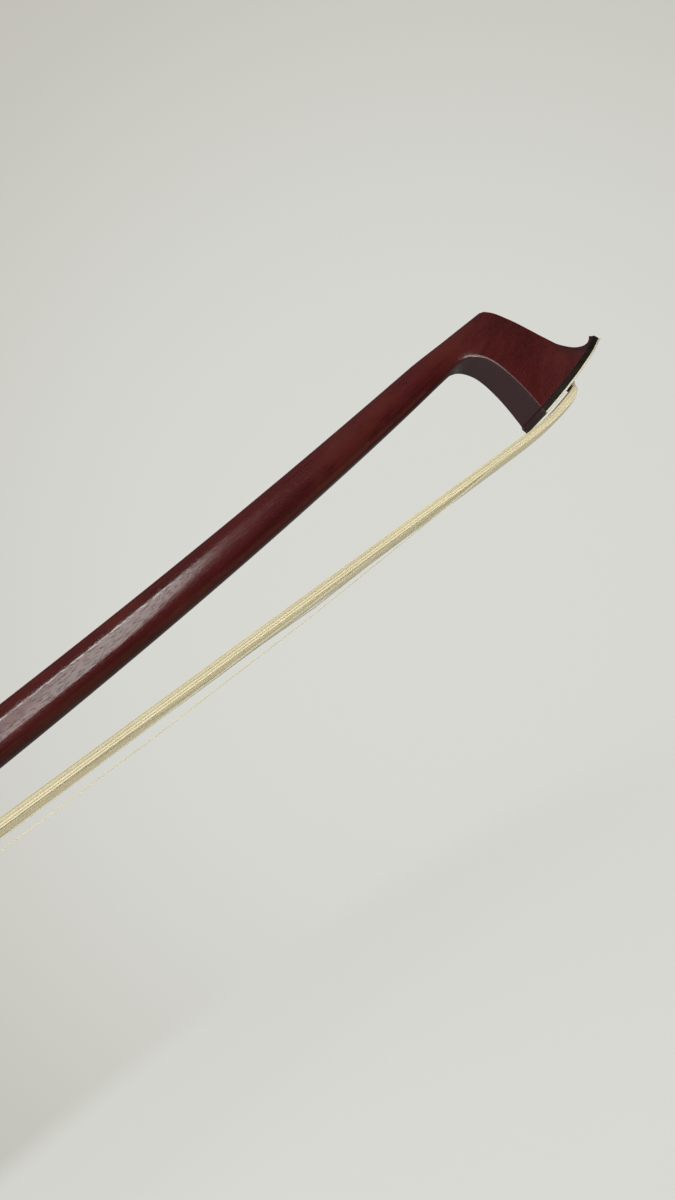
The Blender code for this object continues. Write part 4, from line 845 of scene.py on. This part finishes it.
def hair_route(across, layer):
    """Corners of a strand's path, from its places across the ribbon and in its depth, -1 to 1.

    The ribbon is narrow and tight in both mortises and spreads on the way. The bulge under
    the plate lies further forward and lower on the far side."""
    up = layer[:, None] * np.array((0.28, 0.28, 0.34, 0.76, 0.62, 0.50, 0.50, 0.42, 0.42, 0.40)) * MM
    half = np.array((1.7, 1.7, 3.3, 4.35, 4.6, 5.3, 4.0, 3.5, 3.4, 3.4)) * MM
    y = across[:, None] * half
    head_x = np.array((11.45, 11.55, 11.3, 8.6, 0.4)) * MM
    head_z = np.array((4.6, 2.6, 0.72, 0.08, -1.30)) * MM
    x = head_x + np.stack([-up[:, 0], -up[:, 1], 0.62 * y[:, 2] - 0.7 * up[:, 2], -0.3 * up[:, 3],
                           0 * across], -1)
    z = head_z + np.stack([0 * across, 0 * across, -0.20 * y[:, 2] + 24.0 * y[:, 2] ** 2 + 0.7 * up[:, 2],
                           -0.06 * y[:, 3] + up[:, 3], up[:, 4]], -1)
    front = head_to_bow(x, y[:, :5], z)
    rear_x = np.array((0.0, -FERRULE_LENGTH, -35.3 * MM, -36.0 * MM, -36.0 * MM))
    rear_z = np.array((MOUTH_HAIR_Z, CHANNEL_HAIR_Z, CHANNEL_HAIR_Z, -21.6 * MM, -19.9 * MM))
    x = rear_x + np.stack([0 * across] * 2 + [up[:, 7], up[:, 8], up[:, 9]], -1)
    z = rear_z + np.stack([up[:, 5], up[:, 6], up[:, 7], 0 * across, 0 * across], -1)
    return np.concatenate([front, np.stack([x, y[:, 5:], z], -1)], axis=1)


def rounded_routes(corners, reach, steps):
    """Each corner of each route swapped for a quadratic curve that starts and ends its reach away."""
    before, after = corners[:, :-2] - corners[:, 1:-1], corners[:, 2:] - corners[:, 1:-1]
    reach = np.array(reach)[None, :, None]
    far_b = np.linalg.norm(before, axis=2, keepdims=True)
    far_a = np.linalg.norm(after, axis=2, keepdims=True)
    start = corners[:, 1:-1] + before / far_b * np.minimum(reach, 0.48 * far_b)
    end = corners[:, 1:-1] + after / far_a * np.minimum(reach, 0.48 * far_a)
    t = np.linspace(0, 1, steps)[None, None, :, None]
    bends = ((1 - t) ** 2 * start[:, :, None] + 2 * t * (1 - t) * corners[:, 1:-1, None]
             + t ** 2 * end[:, :, None])
    return np.concatenate([corners[:, :1], bends.reshape(len(corners), -1, 3), corners[:, -1:]], axis=1)


def even_lengths(routes, spacing):
    """Each route resampled at the same shares of its length."""
    return np.stack([np.stack([np.interp(spacing * gone[-1], gone, route[:, k]) for k in range(3)], -1)
                     for gone, route in zip(map(path_lengths, routes), routes)])


def tubes(routes, radius, sides, across, layer):
    """A thin tube along each route: rings square to its run, on one side axis across the bow.

    Its shading normals lean most of the way to the ribbon's own surface, whose normal
    is across^5 sideways and layer upwards, so that the strands read as one soft band."""
    run = np.gradient(routes, axis=1)
    run /= np.linalg.norm(run, axis=2, keepdims=True)
    side = np.cross(run, np.cross(np.broadcast_to((0.0, 1.0, 0.0), run.shape), run))
    side /= np.linalg.norm(side, axis=2, keepdims=True)
    up = np.cross(side, run)
    angle = once_round(sides)
    ring = np.cos(angle)[:, None] * side[:, :, None] - np.sin(angle)[:, None] * up[:, :, None]
    points = routes[:, :, None] + radius[..., None, None] * ring
    count, rows = routes.shape[:2]
    quads = grid_faces(rows, sides)
    first = np.arange(sides)
    last = first + (rows - 1) * sides
    faces, caps = [], []
    for start in np.arange(count) * rows * sides:
        faces.append(quads + start)
        caps += [(first[::-1] + start).tolist(), (last + start).tolist()]
    mesh = bpy.data.meshes.new("tubes")
    mesh.from_pydata(points.reshape(-1, 3).tolist(), [], np.vstack(faces).tolist() + caps)
    outward = (across ** 5)[:, None, None] * side + layer[:, None, None] * up
    outward /= np.maximum(np.linalg.norm(outward, axis=2, keepdims=True), 0.1)
    mesh.shade_smooth()
    normals = 0.25 * ring + 0.75 * outward[:, :, None]
    mesh.normals_split_custom_set_from_vertices(normals.reshape(-1, 3).tolist())
    return mesh


def lock_noise(across, spacing, seed, locks=14, waves=4):
    """A slow field over the ribbon: sines along it whose phase jumps smoothly from lock to lock."""
    luck = np.random.default_rng(seed)
    knots = np.linspace(-1, 1, locks)
    total = 0
    for k in range(1, waves + 1):
        size = np.interp(across, knots, luck.normal(0, 1 / k, locks))[:, None]
        phase = np.interp(across, knots, luck.uniform(0, 2 * pi, locks))[:, None]
        total = total + size * np.sin(2 * k * pi * spacing[None, :] + phase)
    return total


dice = np.random.default_rng(7)
row = np.arange(STRANDS) % LAYERS
place_across = (np.arange(STRANDS) // LAYERS + 0.5 * (row % 2)) / (STRANDS // LAYERS) * 2 - 1
place_across = np.clip(place_across + dice.normal(0, 0.010, STRANDS), -1, 1)
crown = np.sqrt(np.clip(1 - 0.55 * place_across ** 2, 0, 1))
place_layer = (row / (LAYERS - 1) * 2 - 1) * crown + dice.normal(0, 0.08, STRANDS)

# How far from each of its corners a strand starts to bend, and the stations along a strand,
# close together near its ends, where it bends: from the head's end, and back from the frog's.
reach = np.array((0.3, 1.5, 3.5, 6.0, 3.0, 3.0, 1.2, 0.5)) * MM
routes = rounded_routes(hair_route(place_across, place_layer), reach, 7)
front = np.array((0, 1.0, 1.8, 2.3, 2.8, 3.3, 3.8, 4.4, 5.1, 6, 7.2, 8.7, 10.5, 13, 16, 20, 26)) * MM
rear = np.array((54, 50, 46, 40, 34, 28, 22, 17, 13, 9, 6, 4.5, 3.6, 2.8, 2.2, 1.6, 1, 0.5, 0)) * MM
spacing = np.r_[front / HAIR_LENGTH, np.linspace(0.055, 0.91, 20), 1 - rear / HAIR_LENGTH]
routes = even_lengths(routes, spacing)
loose = smooth_step((spacing - 0.03) / 0.06) * smooth_step((0.93 - spacing) / 0.05)


def swayed(routes, across):
    """The routes with the slow waves of the ribbon's locks, the same for strands that lie together."""
    routes[:, :, 1] += HAIR_SWAY * lock_noise(across, spacing, 3) * loose
    routes[:, :, 2] += HAIR_SWAY * lock_noise(across, spacing, 4) * loose
    return routes


routes = swayed(routes, place_across)
own = dice.normal(0, STRAND_WANDER, (STRANDS, 1, 2))
own = own * np.sin(3 * pi * spacing + dice.uniform(0, 6, (STRANDS, 1)))[..., None]
routes[:, :, 1:] += own * loose[None, :, None]
thick = HAIR_RADIUS * dice.uniform(0.92, 1.08, STRANDS)[:, None] * np.ones(routes.shape[1])

# Four strands near the shown edge have slipped. Each hangs in a shallow bow between two shares
# of its length, by so many millimetres.
sag = ((3, 0.03, 0.28, 3.2), (8, 0.045, 0.33, 1.5), (14, 0.12, 0.40, 1.1), (19, 0.05, 0.15, 1.2))
for strand, first, last, drop in sag:
    hang = np.sin(pi * np.clip((spacing - first) / (last - first), 0, 1)) ** 0.7
    routes[strand, :, 2] -= drop * MM * hang
    thick[strand] *= 0.85


def strand_material():
    """Horsehair: a warm cream whose tone is set strand by strand, painted lighter on the ribbon's underside
    as painted light, with slow patches along it.
    """
    material, tree, shader = new_material("horsehair")
    patch = noise(tree, stretched(tree, object_place(tree), (25, 1000, 1000)), 1.0, 2.0)
    tone = maths(tree, 'MULTIPLY_ADD', patch, 0.45, marked(tree, "tone"))
    shade = ramp(tree, tone, (0.20, (0.36, 0.33, 0.225)), (1.0, (0.68, 0.60, 0.38)))
    feed(tree, shader, {"Base Color": shade, "Roughness": 0.5, "Specular IOR Level": 0.2})
    return material


HORSEHAIR = strand_material()


def add_hair(name, mesh, tones):
    """Hair runs from stick to frog, so it belongs to neither and is attached to no body."""
    mesh.name = name
    mark(mesh, "tone", tones)
    mesh.materials.append(HORSEHAIR)
    mesh.shade_smooth()
    item = put_in_scene(name, mesh)
    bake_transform(item)
    return item


def bed_mesh(columns):
    """The ribbon's heart, a closed skin inside the outer strands: an oval carried along their paths.

    A point at angle a follows the path at cos(a) across and sin(a) in depth; fine random
    ridges from path to path stand for the strands."""
    luck = np.random.default_rng(5)
    angle = once_round(columns)
    across = 1.008 * np.sign(np.cos(angle)) * np.abs(np.cos(angle)) ** 0.8
    depth = 1.12 * np.sign(np.sin(angle)) * np.abs(np.sin(angle)) ** 0.7
    depth = depth * np.sqrt(1 - 0.55 * np.minimum(across ** 2, 1))
    paths = rounded_routes(hair_route(across, depth + luck.uniform(-0.05, 0.05, columns)), reach, 7)
    paths = swayed(even_lengths(paths, spacing), np.clip(across, -1, 1))
    return skin(np.transpose(paths, (1, 0, 2))[::-1])


bed = bed_mesh(BED_COLUMNS)
# Painted light: the bed's underside is given a lighter tone, as if lit from below.
under = np.clip(-2 * np.sin(once_round(BED_COLUMNS)), 0, 1)
streaks = np.convolve(dice.normal(0, 0.30, BED_COLUMNS + 6), np.ones(7) / 7, 'valid')
bed_tones_and_light = np.clip(0.14 + 0.55 * under + streaks, 0, 0.9)
add_hair("hair_bed", bed, np.tile(bed_tones_and_light, len(bed.vertices) // BED_COLUMNS))
ribbon = tubes(routes, thick, 4, place_across, place_layer)
locks = lock_noise(place_across, np.array((0.1,)), 9, 18)[:, 0]
# Painted light: the lower layers of strands are given a lighter tone, as if lit from below.
tones = 0.12 + 0.55 * np.clip(-1.5 * place_layer, 0, 1) + 0.10 * locks + dice.normal(0, 0.045, STRANDS)
tones = np.clip(tones, 0, 0.9)
tones[[strand for strand, *_ in sag]] = 0.0
hair = add_hair("hair_strands", ribbon, np.repeat(tones, len(ribbon.vertices) // STRANDS))
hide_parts("hair_ribbon")


# Winding. Round silver wire laid close, turn on turn, round the handle between the leather
# and the shaft. It follows the octagon's flats, and each end is tucked under its neighbour.

WIRE_START_X = 20.1 * MM
WIRE_END_X = 91.7 * MM
WIRE_RADIUS = 0.20 * MM
WIRE_CORNER_SHARE = 0.86
WIRE_TUCK = 0.10 * MM


def wire_coil(turns, steps=28, sides=7):
    """A tube whose centre line climbs one wire's width a turn, a wire's radius off the stick.

    It rounds the octagon's corners a little, and an exponential draws each end in."""
    turn = np.linspace(0, turns, turns * steps + 1)
    x = WIRE_START_X + (WIRE_END_X - WIRE_START_X) * turn / turns
    angle = 2 * pi * turn - pi / 2
    octagon = (1 / np.cos(angle_from_flat(angle)) - 1) * WIRE_CORNER_SHARE
    tuck = WIRE_TUCK * (np.exp(-turn / 0.12) + np.exp((turn - turns) / 0.12))
    radius = (stick_radius(x) + 0.02 * MM) * (1 + octagon_left(x) * octagon) + WIRE_RADIUS - tuck
    out = np.stack([0 * x, np.cos(angle), np.sin(angle)], -1)
    line = radius[:, None] * out
    line[:, 0] = x
    around = once_round(sides)
    ring = np.cos(around)[:, None] * out[:, None] + np.sin(around)[:, None] * (1.0, 0, 0)
    return skin(line[:, None] + WIRE_RADIUS * ring)


def metal(name, colour, stain, roughness, scratch, size):
    """Worn polished metal: its tone and roughness drift in patches, with fine scratches."""
    material, tree, shader = new_material(name)
    place = object_place(tree)
    patch = noise(tree, place, 1 / size, 3.0, 0.6)
    line = noise(tree, stretched(tree, place, (900, 6000, 6000)), 1.0, 2.0)
    feed(tree, shader, {"Base Color": ramp(tree, patch, (0.36, stain), (0.58, colour)), "Metallic": 1.0,
                        "Roughness": ranged(tree, patch, 0.3, 0.7, roughness + 0.14, roughness),
                        "Normal": bumped(tree, line, scratch)})
    return material


SILVER = metal("silver_worn", (0.60, 0.59, 0.57), (0.42, 0.40, 0.37), 0.27, 0.0012 * MM, 2.5 * MM)
coil = wire_coil(round((WIRE_END_X - WIRE_START_X) / (2 * WIRE_RADIUS)))
add_piece("winding_wire", coil, SILVER, "stick", ["grip_winding"], 80)


# Thumb leather. A strip of dark goat leather glued round the handle, its ends skived thin, its
# long edges lapped in a seam on the side away from the player, thicker where the thumb rests.

LEATHER_START_X = -7.3 * MM
LEATHER_END_X = 19.85 * MM
LEATHER_THICKNESS = 1.15 * MM
LEATHER_CORNER_SHARE = 0.62
SKIVED_LENGTH = 1.6 * MM
THUMB_PAD = 0.12 * MM
LAP_ANGLE = 1.28
LAP_STEP = 0.10 * MM
SEAM_DEPTH = 0.13 * MM


def leather_sleeve():
    """A wall round the stick: the outer face is the octagon softened, plus the leather's thickness.

    The thickness rises from each skived end on a quarter circle, swells in a bell curve under
    the thumb, steps at the lap, dips in a narrow bell curve at its seam and is uneven by a
    product of sines. The inner face lies on the stick."""
    along = (1 - np.cos(np.linspace(0, pi, 60))) / 2
    x = LEATHER_START_X + (LEATHER_END_X - LEATHER_START_X) * along
    angle = np.unique(np.r_[once_round(96), LAP_ANGLE + np.linspace(-0.12, 0.12, 13)])
    inner = stick_surface(x, angle, 0.05 * MM)
    gx, ga = np.meshgrid(x, angle, indexing='ij')
    from_end = np.minimum(gx - LEATHER_START_X, LEATHER_END_X - gx)
    rise = np.sqrt(1 - (1 - np.clip(from_end / SKIVED_LENGTH, 0, 1)) ** 2)
    pad = THUMB_PAD * np.exp(-((gx - 4 * MM) / (7 * MM)) ** 2) * (0.5 - 0.5 * np.sin(ga))
    lap = LAP_STEP * smooth_step((LAP_ANGLE - ga) / 0.04 + 0.5) * smooth_step((ga - 0.75) / 0.5)
    seam = SEAM_DEPTH * np.exp(-((ga - LAP_ANGLE - 0.01) / 0.022) ** 2)
    wall = 0.30 * MM + (LEATHER_THICKNESS - 0.44 * MM) * rise + (pad + lap - seam) * rise
    wall += 0.035 * MM * rise * np.sin(5 * ga + 260 * gx) * np.sin(900 * gx + 3 * np.cos(2 * ga))
    octagon = (1 / np.cos(angle_from_flat(ga)) - 1) * LEATHER_CORNER_SHARE
    radius = (stick_radius(gx) + 0.05 * MM) * (1 + octagon) + wall
    outer = np.stack([gx, radius * np.cos(ga), radius * np.sin(ga)], -1)
    return skin(np.concatenate([outer, inner[::-1]]), meet=True)


def hide(name, dark, light, worn, grain, depth):
    """Leather: pebbles between fine creases, darker in them, rubbed lighter in slow patches."""
    material, tree, shader = new_material(name)
    place = object_place(tree)
    warp = noise(tree, place, 0.8 / grain, 2.0, output="Color")
    bent = add_node(tree, 'VectorMath', {0: warp, 1: (0.6 * grain,) * 3, 2: place}, operation='MULTIPLY_ADD')
    pebble = add_node(tree, 'TexVoronoi', {"Vector": bent, "Scale": 1 / grain}, "Distance",
                      feature='DISTANCE_TO_EDGE')
    crease = ranged(tree, pebble, 0.0, 0.28, easing='SMOOTHSTEP')
    rub = ranged(tree, noise(tree, place, 0.16 / grain, 3.0), 0.50, 0.72, 0.0, 0.7)
    feed(tree, shader, {"Base Color": mix(tree, rub, mix(tree, crease, dark, light), worn),
                        "Roughness": ranged(tree, rub, 0.0, 1.0, 0.62, 0.42),
                        "Normal": bumped(tree, crease, depth)})
    return material


GOAT_LEATHER = hide("goat_leather", (0.012, 0.007, 0.005), (0.030, 0.018, 0.012), (0.070, 0.042, 0.027),
                    0.42 * MM, 0.05 * MM)
add_piece("thumb_leather_sleeve", leather_sleeve(), GOAT_LEATHER, "stick",
          ["thumb_leather"], 40)


# Frog. A block of ebony, cut to the octagon above and hollowed for the thumb, polished with its
# edges broken by hand. Its silver lining, eyes and heel plates are let into it.

def softened(name, node, radius, segments, material, body):
    """A merged copy of a node's solid, every sharp edge rounded over, in place of the node."""
    mesh = frame["nodes"][node].data.copy()
    mesh.materials.clear()
    shape = bmesh.new()
    shape.from_mesh(mesh)
    bmesh.ops.remove_doubles(shape, verts=shape.verts, dist=1e-6)
    bmesh.ops.dissolve_limit(shape, angle_limit=radians(0.6), verts=shape.verts, edges=shape.edges)
    shape.to_mesh(mesh)
    shape.free()
    blank = put_in_scene("blank", mesh)
    round_over = blank.modifiers.new("round_over", 'BEVEL')
    round_over.width = radius
    round_over.segments = segments
    round_over.limit_method = 'ANGLE'
    round_over.angle_limit = radians(35)
    round_over.miter_outer = 'MITER_ARC'
    round_over.use_clamp_overlap = True
    mesh.shade_smooth()
    mesh.set_sharp_from_angle(angle=radians(50))
    even = blank.modifiers.new("even", 'WEIGHTED_NORMAL')
    even.mode = 'FACE_AREA_WITH_ANGLE'
    even.weight = 80
    even.keep_sharp = True
    made = evaluated_mesh(blank)
    bpy.data.objects.remove(blank)
    return add_piece(name, made, material, body, [node], None)


EBONY_BLOCK = speckled("ebony_block", (0.0065, 0.0052, 0.0045), (0.022, 0.0165, 0.013), 0.16 * MM,
                       0.36, 0.2, 0.16, 0.006 * MM, (14, 1, 1), 0.28)
softened("frog_ebony", "frog_body", 0.18 * MM, 3, EBONY_BLOCK, "frog")
softened("underslide_silver", "underslide", 0.06 * MM, 2, SILVER, "frog")


# Ferrule, wedge and slide. The silver ferrule holds the hair to the frog's tongue, a maple wedge
# spreads it, and a slide of mother-of-pearl on its thin ebony backing covers its channel.

def nacre(name, tones, size):
    """Mother-of-pearl: bands of pale colour bent by noise, under a clear polish."""
    material, tree, shader = new_material(name)
    cloud = noise(tree, object_place(tree), 1 / size, 2.0, distortion=1.1)
    band = ranged(tree, maths(tree, 'SINE', maths(tree, 'MULTIPLY', cloud, 17.0)), -1.0, 1.0)
    colour = ramp(tree, band, *zip(np.linspace(0, 1, len(tones)), tones))
    feed(tree, shader, {"Base Color": colour, "Roughness": 0.28, "Metallic": 0.15,
                        "Normal": bumped(tree, band, 0.006 * MM, 0.5), "Coat Weight": 0.8,
                        "Coat Roughness": 0.08})
    return material


PEARL_TONES = ((0.40, 0.49, 0.46), (0.52, 0.57, 0.53), (0.60, 0.59, 0.53), (0.60, 0.52, 0.51),
               (0.45, 0.53, 0.56))
PEARL = nacre("mother_of_pearl", PEARL_TONES, 4.5 * MM)
softened("ferrule_silver", "ferrule", 0.10 * MM, 3, SILVER, "frog")
softened("spreader_wedge_maple", "spreader_wedge", 0.08 * MM, 2, MAPLE, "frog")
softened("pearl_slide_shell", "pearl_slide", 0.10 * MM, 2, PEARL, "frog")
softened("slide_backing_ebony", "slide_backing", 0.03 * MM, 1, EBONY_BLOCK, "frog")


# Eyes and heel plates. Each cheek carries a disc of pearl in a silver ring, and two silver
# plates, folded at the heel, are pinned under and behind it.

for side in ("near", "far"):
    softened("eye_" + side + "_shell", "eye_" + side, 0.12 * MM, 3, PEARL, "frog")
    softened("eye_ring_" + side + "_silver", "eye_ring_" + side, 0.08 * MM, 2, SILVER, "frog")
softened("heel_plate_bottom_silver", "heel_plate_bottom", 0.10 * MM, 2, SILVER, "frog")
softened("heel_plate_back_silver", "heel_plate_back", 0.10 * MM, 2, SILVER, "frog")


# Frog's plug and knot. The hair's rear end is whipped round with thread and sealed in a knot,
# and a maple plug wedges it in the frog's mortise, at the rear end of the hair's channel.

softened("frog_plug_maple", "frog_plug", 0.08 * MM, 2, MAPLE, "frog")
KNOT_END = np.array((-35.15, 3.35, -18.85)) * MM
knot = whipped_bar(1.1 * MM, KNOT_END * (1, -1, 1), KNOT_END, 16, 0.07 * MM)
add_piece("frog_knot_whipping", knot, THREAD, "frog", ["frog_hair_knot"])


# Screw and button. The steel screw runs in a brass eyelet and is fixed in the octagonal button,
# an ebony barrel between silver collars with a disc of pearl let into the end.

BRASS = metal("brass_worn", (0.70, 0.52, 0.24), (0.42, 0.30, 0.14), 0.26, 0.002 * MM, 1.5 * MM)
STEEL = metal("steel_bright", (0.56, 0.56, 0.57), (0.36, 0.35, 0.34), 0.24, 0.002 * MM, 1.5 * MM)
softened("button_front_collar_silver", "button_front_collar", 0.16 * MM, 3, SILVER, "button")
softened("button_barrel_ebony", "button_barrel", 0.14 * MM, 3, EBONY_BLOCK, "button")
softened("button_rear_collar_silver", "button_rear_collar", 0.20 * MM, 3, SILVER, "button")
softened("button_eye_shell", "button_eye", 0.10 * MM, 3, PEARL, "button")


# Pins, eyelet and screw. Small silver pins hold the plates, a brass eyelet is screwed into the
# frog, and the steel screw runs in it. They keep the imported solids' shapes, and every solid
# gets the finish of what it is made of.

FINISHES = {"silver": SILVER, "brass": BRASS, "steel": STEEL, "pernambuco": PERNAMBUCO,
            "ebony": EBONY_BLOCK, "bone": BONE, "maple": MAPLE, "horsehair": HORSEHAIR, "pearl": PEARL,
            "leather": GOAT_LEATHER}
for row in frame["record"]["subparts"]:
    solid = frame["nodes"][row["node"]]
    for slot in solid.material_slots:
        slot.material = FINISHES[row["material_slot"]]
